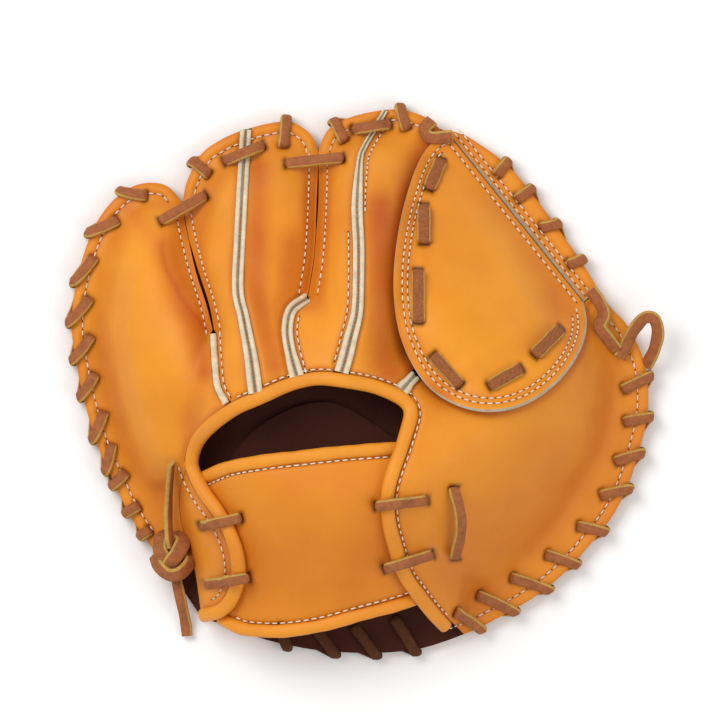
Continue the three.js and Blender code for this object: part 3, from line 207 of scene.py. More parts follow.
# Creases and shaded hollows of the leather, with painted shade laid along them. Columns: reach and depth in
# millimetres, share of the deep tone painted in as shade, and the path. A negative depth is a raised fold.
CREASES = (
    (6.5, 0.4, 0.78, ((-0.675, 0.50), (-0.64, 0.39), (-0.595, 0.26), (-0.56, 0.17), (-0.535, 0.04))),
    (2.6, 0.4, 0.95, ((-0.685, 0.50), (-0.672, 0.425), (-0.63, 0.337), (-0.583, 0.255), (-0.53, 0.19))),
    (6.5, 0.3, 0.75, ((-0.355, 0.775), (-0.36, 0.52), (-0.355, 0.335), (-0.33, 0.20), (-0.29, 0.06))),
    (7.0, 0.2, 0.60, ((-0.23, 0.50), (-0.25, 0.34), (-0.275, 0.22), (-0.275, 0.10))),
    (8.5, 0.3, 0.90, ((0.075, 0.64), (0.075, 0.52), (0.08, 0.30), (0.08, 0.115), (0.10, 0.03))),
    (17.0, 0.9, 0.28, ((0.73, -0.40), (0.62, -0.50), (0.485, -0.60), (0.38, -0.68))),
    (8.0, -0.9, 0.0, ((0.225, -0.33), (0.38, -0.25), (0.55, -0.145), (0.70, -0.02), (0.80, 0.08))),
    (12.0, 0.4, 0.30, ((-0.74, -0.36), (-0.69, -0.47), (-0.65, -0.56))),
    (5.0, 0.5, 0.30, ((-0.80, 0.62), (-0.74, 0.56), (-0.70, 0.48))),
    (16.0, 0.3, 0.25, ((-0.30, -0.74), (-0.10, -0.72), (0.06, -0.66))),
)
# Welts that run on to the rim of their finger.
TO_THE_RIM = ("middle_welt", "index_welt")
KNOT_CENTRE = (-0.645, -0.655)
# Bands of the knot. Columns: x, y and the height over the leather as a share of half the knot.
KNOT_BANDS = (
    ((-0.65, -0.60, -0.1), (-0.65, -0.65, 0.3), (-0.645, -0.72, 0.2)),
    ((-0.665, -0.56, -0.6), (-0.69, -0.575, 0.2), (-0.692, -0.625, 0.7), (-0.665, -0.67, 0.9),
     (-0.635, -0.705, 0.6)),
    ((-0.67, -0.71, 0.4), (-0.655, -0.67, 1.1), (-0.63, -0.63, 1.3), (-0.612, -0.585, 0.9),
     (-0.635, -0.56, -0.4)),
    ((-0.71, -0.64, -0.4), (-0.698, -0.68, 0.6), (-0.66, -0.712, 1.4), (-0.62, -0.705, 1.5),
     (-0.588, -0.665, 0.7), (-0.595, -0.625, -0.3)),
)
# Lace ends at the knot. Columns: x, y and the height over where they would lie in millimetres.
TAILS = {
    "lace_tail_upper": (
        (-0.655, -0.605, 6.2), (-0.66, -0.57, 7.6), (-0.663, -0.515, 4), (-0.662, -0.45, 0.8),
        (-0.657, -0.37, 0), (-0.65, -0.30, 0)),
    "lace_tail_lower": (
        (-0.64, -0.715, 0), (-0.628, -0.77, 0), (-0.615, -0.835, 0), (-0.605, -0.89, 0), (-0.60, -0.94, 0)),
}

# Stitch lines. Columns: the path they follow, millimetres to its left, and the steps left out at its
# start and at its end.
STITCH_LINES = {
    "back": (
        ("little", -4.9, 30, 3), ("middle", -4.9, 4, 4), ("index", -4.9, 4, 0), ("thumb", -4.9, 12, 0),
        ("little_slit", 3.3, 0, 8), ("little_slit", -3.2, 0, 8), ("little_welt", -3.0, 0, 0),
        ("middle_slit", 4.1, 0, 3), ("middle_slit", -4.1, 4, 3), ("knuckle_welt", -4.4, 0, 40),
        ("index_welt", -3.6, 96, 6), ("index_welt", 4.4, 3, 77)),
    "web": (("web_edge", 3.9, 3, 2), ("web_edge", 6.3, 6, 4), ("web_fold", -2.6, 3, 3)),
    "band": (("web_fold", 2.4, 3, 3), ("web_fold", 5.0, 3, 6)),
    "strap": (("strap_top", -3.6, 5, 4), ("strap_bottom", 3.6, 9, 4)),
    "welt": (("middle_welt", 0, 0, 0), ("index_welt", 0, 0, 57), ("knuckle_welt", 0, 0, 0)),
}
# The two stitch lines beside the opening. Columns: millimetres to its left, where they start and end.
OPENING_STITCHES = ((4.15, (-0.40, -0.09), (0.285, -0.889)), (6.0, (-0.497, -0.848), (-0.58, -0.30)))

# What is pressed into the leather. Columns: reach and depth in millimetres.
PRESSED = {"seam": (1.2, 0.5), "hole": (1.5, 1.1), "edge": (1.3, 0.9)}
# How dark the leather is painted there: painted shade in the pressed seams and along the rolled borders,
# and painted shadow in the lace holes. Columns: reach in millimetres, share of the deep tone.
DARKENED = {"seam": (1.6, 0.40), "edge": (1.8, 0.40), "hole": (1.1, 1.0)}
# Painted shade in hollows: reach of the surface around a point, fall for the full mark, and way in from the
# rim, in millimetres, and their share of the deep tone.
HOLLOW_REACH, HOLLOW_FALL, HOLLOW_INSET, HOLLOW_TONE = 12, 3.5, 18, 0.50
# The web's shadow on the leather under its edge. Columns: share of the deep tone, reach in millimetres.
WEB_SHADOW = {"index_finger_inner_back": (0.95, 7), "thumb_back": (0.7, 3)}
# Painted shade over the whole of a panel, as a share of the deep tone.
PANEL_SHADE_TONE = {"thumb_back": 0.15, "wrist_strap": 0.25}
# How far behind its hole a lace's slot lies, in millimetres.
WHIP_SLOT, BAR_SLOT = 0.3, 1.1


def distance(label, default, text):
    """A length in metres for the sidebar."""
    return bpy.props.FloatProperty(
        name=label, description=text, default=default, min=0.0, unit="LENGTH", subtype="DISTANCE",
        precision=5)


def colour(label, default, text):
    """A linear colour for the sidebar."""
    return bpy.props.FloatVectorProperty(
        name=label, description=text, default=default, min=0.0, max=1.0, size=3, subtype="COLOR")


class GloveSizes(bpy.types.PropertyGroup):
    """Lengths that drive the glove."""
    glove_width: distance("Glove width", 0.260, "Width of the leather body")
    glove_length: distance("Glove length", 0.245, "Length of the leather body")
    palm_leather: distance("Palm leather", 0.003, "Thickness of the palm at its rim")
    palm_padding: distance("Palm padding", 0.003, "Padding added inside the palm")
    back_leather: distance("Back leather", 0.0024, "Thickness of the back panels")
    web_leather: distance("Web leather", 0.0026, "Thickness of the web panel")
    strap_leather: distance("Strap leather", 0.0024, "Thickness of the wrist strap")
    lining_leather: distance("Lining leather", 0.0012, "Thickness of the palm lining")
    binding_width: distance("Binding width", 0.0064, "Width of the rolled edge of the opening")
    binding_height: distance("Binding height", 0.0056, "Height of the rolled edge of the opening")
    strap_roll: distance("Strap roll", 0.0060, "Width of the rolled edges of the strap")
    single_welt: distance("Single welt", 0.0032, "Width of the single welt")
    double_welt: distance("Double welt", 0.0052, "Width of the double welts")
    welt_height: distance("Welt height", 0.0034, "Height of the welts")
    lace_width: distance("Lace width", 0.005, "Width of the lace")
    lace_thickness: distance("Lace thickness", 0.0018, "Thickness of the lace")
    web_lace_width: distance("Web lace width", 0.0060, "Width of the laces in the web")
    tail_width: distance("Tail width", 0.004, "Width of the lace ends at the knot")
    knot_height: distance("Knot height", 0.009, "Height of the knot")
    palm_rise: distance("Palm rise", 0.034, "Height of the palm's crown over its rim")
    finger_room: distance("Finger room", 0.021, "Room for a finger")
    thumb_room: distance("Thumb room", 0.024, "Room for the thumb")
    hand_room: distance("Hand room", 0.034, "Room for the hand")
    web_fill: distance("Web fill", 0.017, "Rise of the web over the palm")
    flange: distance("Flange", 0.007, "Flat rim where palm and back meet")
    gap: distance("Gap", 0.00035, "Clearance between pieces")
    lap_gap: distance("Lap gap", 0.0008, "Clearance between layers inside the rim")
    seam_gap: distance("Seam gap", 0.00015, "Gap between a welt and its panels")
    slit_width: distance("Slit width", 0.0016, "Width of the open slits between fingers")
    strap_drop: distance("Strap drop", 0.0026, "How far the strap lies below the back")
    lining_gap: distance("Lining gap", 0.0024, "How far the lining lies above the palm")
    mesh_step: distance("Mesh step", 0.0010, "Edge length of the fine meshes")
    stitch_length: distance("Stitch length", 0.0026, "Length of a visible stitch")
    stitch_pitch: distance("Stitch pitch", 0.0036, "Distance from stitch to stitch")
    thread: distance("Thread", 0.0007, "Thickness of the thread")


class GloveColours(bpy.types.PropertyGroup):
    """Linear colours of the glove."""
    leather: colour("Leather", (0.790, 0.292, 0.018), "Lit tan leather")
    # The deep tone is painted shade, laid into folds, hollows, seams, borders, shaded panels and under the
    # web's edge.
    leather_deep: colour("Deep leather", (0.500, 0.093, 0.009), "Tan leather in folds and seams")
    lace: colour("Lace", (0.400, 0.132, 0.044), "Face of the lace")
    lace_edge: colour("Lace edge", (0.560, 0.340, 0.080), "Raw edge of the lace")
    welt: colour("Welt", (0.780, 0.650, 0.455), "Grey welts and raw edges")
    thread: colour("Thread", (0.800, 0.740, 0.600), "Stitches")
    # Dark inner leather, painted darker still as the shade inside the glove.
    lining: colour("Lining", (0.062, 0.015, 0.008), "Dark inner leather")
    floor: colour("Floor", (0.93, 0.93, 0.93), "Floor under the glove")


def smooth(value):
    """The usual smooth step from 0 to 1."""
    t = np.clip(value, 0.0, 1.0)
    return t * t * (3.0 - 2.0 * t)


def at_shares(points, shares):
    """Points of a polyline at shares of its length."""
    points = np.asarray(points, float)
    sums = np.concatenate(([0.0], np.cumsum(np.linalg.norm(np.diff(points, axis=0), axis=1))))
    where = np.asarray(shares) * sums[-1]
    return np.stack([np.interp(where, sums, points[:, axis]) for axis in range(points.shape[1])], axis=1)


def resample(points, steps):
    """A polyline cut anew into equal steps."""
    return at_shares(points, np.linspace(0.0, 1.0, steps + 1))


def catmull(rows, steps):
    """Equal steps along the smooth curve through the given points."""
    points = np.asarray(rows, float)
    last = len(points) - 1
    place = np.linspace(0.0, last, 4 * last * 8 + 1)
    index = np.minimum(place.astype(int), last - 1)
    t = (place - index)[:, None]
    before, start = points[np.maximum(index - 1, 0)], points[index]
    end, after = points[index + 1], points[np.minimum(index + 2, last)]
    leave, arrive = (end - before) / 2, (after - start) / 2
    curve = ((2 * start - 2 * end + leave + arrive) * t ** 3
             + (3 * end - 3 * start - 2 * leave - arrive) * t ** 2 + leave * t + start)
    return resample(curve, steps)


def unit(vectors):
    """Vectors of length one."""
    return vectors / np.maximum(np.linalg.norm(vectors, axis=-1, keepdims=True), 1e-12)


def bell(count):
    """Weights of a soft window that add up to one."""
    weights = np.exp(-np.linspace(-3.0, 3.0, count) ** 2 / 2)
    return weights / weights.sum()


def beside(points, offset):
    """A plan path moved to its left by the offset."""
    run = unit(np.gradient(points, axis=0))
    return points + offset * np.stack((-run[:, 1], run[:, 0]), axis=1)


def nearest(points, target):
    """Index of the path point nearest to a point."""
    return int(np.argmin(np.linalg.norm(points - np.asarray(target), axis=1)))


def stretch(points, start, end):
    """The stretch of a path between the points nearest to start and end."""
    first, last = nearest(points, start), nearest(points, end)
    return points[first:last + 1] if first <= last else points[last:first + 1][::-1]


# A path marks nothing further off than this many reaches. Points are weighed in blocks, to save memory.
FAR_REACHES = 4
BLOCK_POINTS = 2000


def closeness(points, paths, reach):
    """1 on a set of paths, falling to 0 well past the reach, for many plan points."""
    flat = points.reshape(-1, 2)
    best = np.full(len(flat), 1e9)
    for path in paths:
        length = np.linalg.norm(np.diff(path, axis=0), axis=1).sum()
        fine = resample(path, max(2, int(length / (0.4 * reach))))
        far = FAR_REACHES * reach
        low, high = fine.min(axis=0) - far, fine.max(axis=0) + far
        near = np.flatnonzero(((flat > low) & (flat < high)).all(axis=1))
        for block in np.array_split(near, max(1, len(near) // BLOCK_POINTS)):
            if len(block):
                gaps = np.linalg.norm(flat[block, None] - fine[None], axis=2).min(axis=1)
                best[block] = np.minimum(best[block], gaps)
    return np.exp(-(best / reach) ** 2).reshape(points.shape[:-1])


class Shape:
    """Plan paths and heights of the glove. Plan points are arrays that end in x and y."""

    def __init__(self, sizes):
        self.sizes = sizes
        self.half = np.array((sizes.glove_width / 2, sizes.glove_length / 2))
        self.rims = {name: self.path(rows) for name, rows in RIMS.items()}
        self.rim = np.vstack([path[:-1] for path in self.rims.values()])
        self.lines = {name: self.path(rows) for name, rows in LINES.items()}
        self.crown = np.array(CROWN) * self.half
        arms = self.rim - self.crown
        angles = np.arctan2(arms[:, 1], arms[:, 0])
        order = np.argsort(angles)
        self.rim_angles = np.linspace(-math.pi, math.pi, RIM_DIRECTIONS, endpoint=False)
        lengths = np.linalg.norm(arms, axis=1)[order]
        reaches = np.interp(self.rim_angles, angles[order], lengths, period=2 * math.pi)
        wrapped = np.pad(reaches, RIM_WINDOW // 2, mode="wrap")
        self.rim_reaches = np.convolve(wrapped, bell(RIM_WINDOW), mode="valid")
        for name in TO_THE_RIM:
            welt = self.lines[name]
            run, arms = unit(welt[-1] - welt[-4]), self.rim - welt[-1]
            ahead, aside = arms @ run, np.abs(arms @ np.array((-run[1], run[0])))
            run_out = run * ahead[np.argmin(aside + (ahead < 0))]
            self.lines[name] = resample(np.vstack((welt, welt[-1:] + run_out)), len(welt) - 1)
        self.rooms = [self.softened(ridges) for ridges in (RIDGES, RIDGES + (WEB_RIDGE,))]
        self.rim_level = sizes.lace_thickness + sizes.gap + sizes.palm_leather
        low, high = (np.array(corner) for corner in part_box("palm"))
        middle = (self.rim.min(axis=0) + self.rim.max(axis=0)) / 2
        self.shift = np.append((low[:2] + high[:2]) / 2 - middle, high[2] - self.rim_level - sizes.palm_rise)
        self.slots = [self.slot(row[:2], row[2:], WHIP_SLOT) for rows in WHIPS.values() for row in rows]
        for rows in BARS.values():
            for row in rows:
                self.slots += [self.slot(row[:2], row[2:], BAR_SLOT), self.slot(row[2:], row[:2], BAR_SLOT)]
        self.creases = [
            (reach * MM, depth * MM, tone, self.path(rows)) for reach, depth, tone, rows in CREASES]
        self.seams = self.seam_lines()

    def path(self, rows):
        """The smooth plan path through rows of shares."""
        return catmull(np.array(rows) * self.half, PATH_STEPS)

    def spot(self, x, y):
        """The plan point at shares of the half width and the half length."""
        return np.array((x, y)) * self.half

    def slot(self, hole, other, behind):
        """Plan path of the slot that a lace goes down through, a little behind its hole: pressed in and
        painted dark as its shadow.
        """
        hole, other = self.spot(*hole), self.spot(*other)
        along = unit(other - hole)
        across = np.array((-along[1], along[0])) * 0.36 * self.sizes.lace_width
        middle = hole - behind * MM * along
        return np.array((middle - across, middle + across))

    def inwards(self, p):
        """Way in from the rim, share of the way out from the crown, and the whole way."""
        arm = p - self.crown
        reach = np.interp(np.arctan2(arm[..., 1], arm[..., 0]), self.rim_angles, self.rim_reaches,
                          period=2 * math.pi)
        out = np.linalg.norm(arm, axis=-1)
        return reach - out, out / reach, reach

    def palm_top(self, p):
        """Height of the palm's upper face, flat at the rim and highest at the crown."""
        _, share, reach = self.inwards(p)
        flange = 1 - self.sizes.flange / reach
        return self.rim_level + self.sizes.palm_rise * smooth((flange - share) / (flange - CROWN_SHARE))

    def palm_under(self, p):
        """Height of the palm's lower face, below its leather and padding."""
        padding = smooth((PADDING_EDGE_SHARE - self.inwards(p)[1]) / FADE_SHARE)
        thickness = self.sizes.palm_leather + self.sizes.palm_padding * padding
        return self.palm_top(p) - thickness * self.steepness(self.palm_top, p)

    def ridge(self, p, entry):
        """Room under one ridge, highest along its middle and falling to both sides."""
        best = np.zeros(p.shape[:-1])
        room = getattr(self.sizes, entry["room"])
        rows = entry["rows"]
        for start, end in zip(rows, rows[1:]):
            origin, run = self.spot(*start[:2]), self.spot(*end[:2]) - self.spot(*start[:2])
            arm = p - origin
            along = np.clip(arm @ run / (run @ run), 0.0, 1.0)
            away = np.linalg.norm(arm - along[..., None] * run, axis=-1)
            right = run[0] * arm[..., 1] - run[1] * arm[..., 0] > 0
            left_reach = start[2] + (end[2] - start[2]) * along
            right_reach = start[3] + (end[3] - start[3]) * along
            reach = self.half[0] * np.where(right, right_reach, left_reach)
            rise = room * (start[4] + (end[4] - start[4]) * along)
            bulge = np.clip(1 - (away / reach) ** entry["peak"], 0.0, 1.0) ** entry["flank"]
            best = np.maximum(best, rise * bulge)
        return best

    def softened(self, ridges):
        """Room under the leather on a raster over the whole plan, with the kinks of the ridges smoothed."""
        columns, rows = (np.arange(-reach, reach, ROOM_STEP) for reach in self.half * ROOM_MARGIN)
        places = np.stack(np.meshgrid(columns, rows), axis=-1)
        _, share, reach = self.inwards(places)
        fade = smooth((1 - self.sizes.flange / reach - share) / FADE_SHARE)
        total = sum((self.ridge(places, entry) * (fade if entry["fades"] else 1)) ** BLEND_POWER
                    for entry in ridges)
        field = total ** (1 / BLEND_POWER)
        for axis in (0, 1):
            field = np.apply_along_axis(np.convolve, axis, field, bell(ROOM_WINDOW), mode="same")
        return field

    def room(self, p, with_web=False):
        """Room under the leather at plan points, read from the raster."""
        field = self.rooms[with_web]
        place = (p + ROOM_MARGIN * self.half) / ROOM_STEP
        low = np.clip(place.astype(int), 0, np.array(field.shape)[::-1] - 2)
        u, v = np.moveaxis(np.clip(place - low, 0.0, 1.0), -1, 0)
        x, y = np.moveaxis(low, -1, 0)
        near = (1 - u) * field[y, x] + u * field[y, x + 1]
        return (1 - v) * near + v * ((1 - u) * field[y + 1, x] + u * field[y + 1, x + 1])

    def lap(self, p):
        """Extra clearance between layers inside the flat rim."""
        return self.sizes.lap_gap * smooth(self.inwards(p)[0] / self.sizes.flange - 1)

    def back_under(self, p):
        """Height of the lower face of the back."""
        return self.palm_top(p) + self.sizes.gap + self.lap(p) + self.room(p)

    def steepness(self, height, p, step=1.5 * MM):
        """How much longer the way through a wall is along Z, since the wall is inclined."""
        dx = height(p + (step, 0)) - height(p - (step, 0))
        dy = height(p + (0, step)) - height(p - (0, step))
        return np.minimum(np.hypot(1, np.hypot(dx, dy) / (2 * step)), MAX_STEEPNESS)

    def back_top(self, p):
        """Height of the upper face of the back."""
        return self.back_under(p) + self.sizes.back_leather * self.steepness(self.back_under, p)

    def web_under(self, p):
        """Height of the lower face of the web, clear of the back below it."""
        sizes = self.sizes
        below = self.palm_top(p) + sizes.gap + sizes.lap_gap + self.lap(p)
        leather = sizes.back_leather * self.steepness(self.back_under, p)
        return below + leather + WEB_SLACK * self.room(p, True)

    def web_top(self, p):
        """Height of the upper face of the web."""
        return self.web_under(p) + self.sizes.web_leather * self.steepness(self.web_under, p)

    def strap_top(self, p):
        """Height of the upper face of the strap, which lies inside the opening."""
        return self.back_under(p) - self.sizes.gap - self.sizes.strap_drop

    def strap_under(self, p):
        """Height of the lower face of the strap."""
        return self.strap_top(p) - self.sizes.strap_leather * self.steepness(self.back_under, p)

    def lining_top(self, p):
        """Height of the upper face of the lining."""
        return self.palm_top(p) + self.sizes.lining_gap + self.sizes.lining_leather

    def welt_half(self, line):
        """Half the width of a double welt: flared at the opening, thin at the index finger's tip."""
        share = np.linspace(0.0, 1.0, len(self.lines[line]))[:, None]
        width = 1.25 - 0.25 * smooth(share / 0.3)
        if line == "index_welt":
            width = width - 0.5 * smooth((share - 0.60) / 0.25)
        return self.sizes.double_welt / 2 * width

    def opening_height(self, p):
        """Height of the middle of the roll round the opening."""
        sizes = self.sizes
        return np.maximum(self.back_top(p) - sizes.back_leather / 2,
                          self.palm_top(p) + sizes.gap + sizes.binding_height / 2)

    def over_opening(self, p):
        """Upper surface near the opening: panel outside, the roll on its edge, the strap inside."""
        sizes = self.sizes
        opening = self.lines["opening"]
        flat = p.reshape(-1, 2)
        gaps = np.linalg.norm(flat[:, None] - opening[None], axis=2)
        index = gaps.argmin(axis=1)
        run = np.gradient(opening, axis=0)[index]
        arm = flat - opening[index]
        outside = run[:, 0] * arm[:, 1] - run[:, 1] * arm[:, 0] > 0
        base = np.where(outside, self.back_top(flat), self.strap_top(flat))
        roll = self.opening_height(opening[index]) + sizes.binding_height / 2
        near = gaps.min(axis=1) < sizes.binding_width / 2 + sizes.lace_thickness
        return np.where(near, np.maximum(base, roll), base).reshape(p.shape[:-1])

    def seam_lines(self):
        """Plan paths of the stitch lines on the back, the web, its band, the strap and the welts."""
        paths = {**self.lines, **self.rims}
        seams = {}
        for part, rows in STITCH_LINES.items():
            seams[part] = [beside(paths[line], offset * MM)[skip:len(paths[line]) - drop]
                           for line, offset, skip, drop in rows]
        opening = paths["opening"]
        for offset, first, last in OPENING_STITCHES:
            low, high = (nearest(opening, self.spot(*place)) for place in (first, last))
            seams["back"].append(beside(opening, offset * MM)[low:high])
        return seams

    def surface(self, p, top, seams, borders, folds):
        """Height of a leather surface with its seams and creases pressed in and its borders rolled over."""
        height = top(p) - folds
        for kind, paths in (("seam", seams), ("hole", self.slots), ("edge", borders)):
            reach, depth = PRESSED[kind]
            height = height - depth * MM * closeness(p, paths, reach * MM)
        return height

    def hollow(self, p, height):
        """How far a point lies below the surface around it, from 0 to 1."""
        turns = np.arange(8) * math.pi / 4
        steps = HOLLOW_REACH * MM * np.stack((np.cos(turns), np.sin(turns)), axis=1)
        around = np.mean([height(p + step) for step in steps], axis=0)
        fall = np.clip((around - height(p)) / (HOLLOW_FALL * MM), 0.0, 1.0)
        return fall * smooth(self.inwards(p)[0] / (HOLLOW_INSET * MM))

    def folds(self, p):
        """Depth of the creases at plan points, and the share of the deep tone painted along them as shade."""
        depth, tone = np.zeros(p.shape[:-1]), np.zeros(p.shape[:-1])
        for reach, fall, share, path in self.creases:
            near = closeness(p, [path], reach)
            depth += fall * near
            tone = np.maximum(tone, share * near)
        return depth, tone


SHAPES = {}


def shape(context):
    """The glove's shape, worked out once from the sizes in the sidebar."""
    if "glove" not in SHAPES:
        SHAPES["glove"] = Shape(context.scene.glove_sizes)
    return SHAPES["glove"]


def faces_inwards(vertices, faces):
    """Whether a closed mesh has its faces turned to its inside."""
    fans = [(face[0], face[k], face[k + 1]) for face in faces for k in range(1, len(face) - 1)]
    a, b, c = np.asarray(vertices, float)[np.array(fans, dtype=int)].transpose(1, 0, 2)
    return float(np.einsum("ij,ij->", a, np.cross(b, c))) < 0


def piece(name, vertices, faces, materials, node, marks=None, face_material=None):
    faces = [tuple(map(int, face)) for face in faces]
    if faces_inwards(vertices, faces):
        faces = [face[::-1] for face in faces]
    mesh = bpy.data.meshes.new(name)
    mesh.from_pydata(np.asarray(vertices).tolist(), [], faces)
    for material in materials:
        mesh.materials.append(material)
    if face_material is not None:
        mesh.polygons.foreach_set("material_index", np.asarray(face_material, dtype=np.int32))
    for mark, values in (marks or {}).items():
        attribute = mesh.attributes.new(mark, "FLOAT", "POINT")
        attribute.data.foreach_set("value", np.asarray(values, dtype=np.float32).ravel())
    mesh.polygons.foreach_set("use_smooth", np.ones(len(mesh.polygons), dtype=bool))
    mesh.set_sharp_from_angle(angle=math.radians(50))
    mesh.update()
    if mesh.validate():
        raise RuntimeError(f"{name} has faces that are not sound")
    body = bpy.data.objects.new(name, mesh)
    bpy.context.scene.collection.objects.link(body)
    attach(body, "root")
    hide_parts(node)
    return body


def grid_faces(rows, columns, start=0, flip=False, ring=False):
    """Quads of a grid of vertices stored row by row, closed across the columns if it is a ring."""
    i, j = np.meshgrid(np.arange(rows - 1), np.arange(columns if ring else columns - 1), indexing="ij")
    following = (j + 1) % columns
    quads = np.stack((i * columns + j, i * columns + following, (i + 1) * columns + following,
                      (i + 1) * columns + j), axis=-1).reshape(-1, 4) + start
    return quads[:, ::-1] if flip else quads


def shares_for(length, step):
    """Shares along a length at about the given step, closer together at both ends."""
    near = np.array((0.5, 1.1)) * MM / length
    even = np.linspace(0.0, 1.0, max(6, int(round(length / step))) + 1)
    return np.unique(np.concatenate((even, near, 1 - near)))


def spread(left, right, bottom, top, step):
    """Plan grid between four sides that run left to right or bottom to top."""
    left = np.vstack((bottom[:1], left[1:-1], top[:1]))
    right = np.vstack((bottom[-1:], right[1:-1], top[-1:]))
    size = lambda side: np.linalg.norm(np.diff(side, axis=0), axis=1).sum()
    us = shares_for(max(size(bottom), size(top)), step)
    vs = shares_for(max(size(left), size(right)), step)
    l, r = at_shares(left, vs)[:, None], at_shares(right, vs)[:, None]
    b, t = at_shares(bottom, us)[None], at_shares(top, us)[None]
    u, v = us[None, :, None], vs[:, None, None]
    corners = ((1 - u) * (1 - v) * b[:, :1] + u * (1 - v) * b[:, -1:]
               + (1 - u) * v * t[:, :1] + u * v * t[:, -1:])
    return (1 - u) * l + u * r + (1 - v) * b + v * t - corners


def walled(grid, top, under):
    """Vertices and faces of a wall between two heights over a plan grid."""
    rows, columns = grid.shape[:2]
    count = rows * columns
    upper = np.dstack((grid, top)).reshape(-1, 3)
    lower = np.dstack((grid, under)).reshape(-1, 3)
    index = np.arange(count).reshape(rows, columns)
    loop = np.concatenate((index[0], index[1:, -1], index[-1, -2::-1], index[-2:0:-1, 0]))
    following = np.roll(loop, -1)
    sides = np.stack((loop, loop + count, following + count, following), axis=1)
    faces = np.vstack((grid_faces(rows, columns), grid_faces(rows, columns, count, flip=True), sides))
    return np.vstack((upper, lower)), faces


def leather_panel(glove, node, grid, top, under, seams, raw=()):
    """A leather panel with pressed seams, rolled borders, raw edges where named, and marks of painted shade
    for its colour.
    """
    borders = {"bottom": grid[0], "top": grid[-1], "left": grid[:, 0], "right": grid[:, -1]}
    rolled = [path for name, path in borders.items() if name not in raw]
    # The creases bring painted shade as their tone; the web panel gets neither.
    depth, tone = glove.folds(grid) if node != "web_panel" else (0.0, 0.0)
    height = glove.surface(grid, top, seams, rolled, depth)
    # Painted shade in the hollows of the surface.
    tone = np.maximum(tone, HOLLOW_TONE * glove.hollow(grid, under))
    # The thumb and the strap are painted a shade darker all over.
    panel_shade = PANEL_SHADE_TONE.get(node, 0.0)
    tone = panel_shade + (1 - panel_shade) * tone
    if node in WEB_SHADOW:
        share, reach = WEB_SHADOW[node]
        tone = np.maximum(tone, share * closeness(grid, [glove.lines["web_edge"]], reach * MM))
    marks = {}
    for kind, paths in (("seam", seams), ("edge", rolled), ("hole", glove.slots)):
        reach, share = DARKENED[kind]
        marks[kind] = share * closeness(grid, paths, reach * MM)
    # The seam mark carries all the painted shade of the panel: seams, rolled borders, creases, hollows, panel
    # shade and the web's shadow.
    marks["seam"] = np.maximum(np.maximum(marks["seam"], marks.pop("edge")), tone)
    vertices, faces = walled(grid, height, under(grid))
    edge = np.zeros(grid.shape[:2], dtype=bool)
    edge[:2] = "bottom" in raw
    edge[-1] = "top" in raw
    edge[:, :1 + ("top" in raw)] |= "left" in raw
    kinds = (np.tile(edge.ravel(), 2)[faces].sum(axis=1) >= 2).astype(int)
    flat = np.zeros(grid.shape[:2])
    marks = {kind: np.concatenate((mark, flat)) for kind, mark in marks.items()}
    materials = [finish("shell_leather"), finish("raw_edge")]
    return piece(f"{node}_leather", vertices + glove.shift, faces, materials, node,
                 marks, kinds)


def tube(path, ups, section):
    """Vertices and quads of a closed section carried along a path, with fans over its ends."""
    path, ups = np.asarray(path, float), np.asarray(ups, float)
    run = unit(np.gradient(path, axis=0))
    side = unit(np.cross(run, ups))
    up = np.cross(side, run)
    section = np.asarray(section, float)
    if section.ndim == 2:
        section = np.broadcast_to(section, (len(path),) + section.shape)
    rings = (path[:, None] + section[..., :1] * side[:, None] + section[..., 1:] * up[:, None])
    rows, columns = rings.shape[:2]
    vertices = np.vstack((rings.reshape(-1, 3), rings[0].mean(axis=0), rings[-1].mean(axis=0)))
    faces = [tuple(face) for face in grid_faces(rows, columns, ring=True)]
    first, last, base = rows * columns, rows * columns + 1, (rows - 1) * columns
    for j in range(columns):
        faces.append((first, (j + 1) % columns, j))
        faces.append((last, base + j, base + (j + 1) % columns))
    return vertices, faces


def oval(width, height, sides=18, fullness=2.3):
    """An oval section. A higher fullness makes it squarer."""
    angles = 2 * math.pi * (np.arange(sides) + 0.5) / sides
    full = lambda value: np.sign(value) * np.abs(value) ** (2 / fullness)
    return np.stack((width / 2 * full(np.cos(angles)), height / 2 * full(np.sin(angles))), axis=1)


# Section of a flat lace as shares of its width and thickness, and which of its sides are raw edges.
LACE_SECTION = (
    (-0.50, -0.30), (-0.46, -0.50), (0.46, -0.50), (0.50, -0.30), (0.50, 0.20), (0.44, 0.46), (0.28, 0.60),
    (0.0, 0.66), (-0.24, 0.60), (-0.38, 0.48), (-0.50, 0.12))
RAW_SIDES = (0, 2, 3, 9, 10)
EVEN_SECTION = (
    (-0.50, -0.30), (-0.46, -0.50), (0.46, -0.50), (0.50, -0.30), (0.50, 0.15), (0.41, 0.50), (0.20, 0.60),
    (0.0, 0.62), (-0.20, 0.60), (-0.41, 0.50), (-0.50, 0.15))
EVEN_RAW_SIDES = RAW_SIDES + (4,)
LEAN = 0.28
# A lace's width wavers by a share of itself, with so many radians for each metre along X and along Y.
WAVER, WAVER_X, WAVER_Y = 0.03, 400, 560
# A lace is narrower by this share where it stands on edge in its hole.
PINCH = 0.30
# Waves of a roll's thickness. Columns: share, radians over the whole roll, and where the wave starts.
ROLL_WAVES = ((0.03, 23, 0.0), (0.02, 59, 1.3))
# How high a lace humps between its holes, how far it stands off the rim, and how its face tips there.
LACE_HUMP = 0.6 * MM
RIM_ROUND = 0.8 * MM
LACE_TIP = 0.55


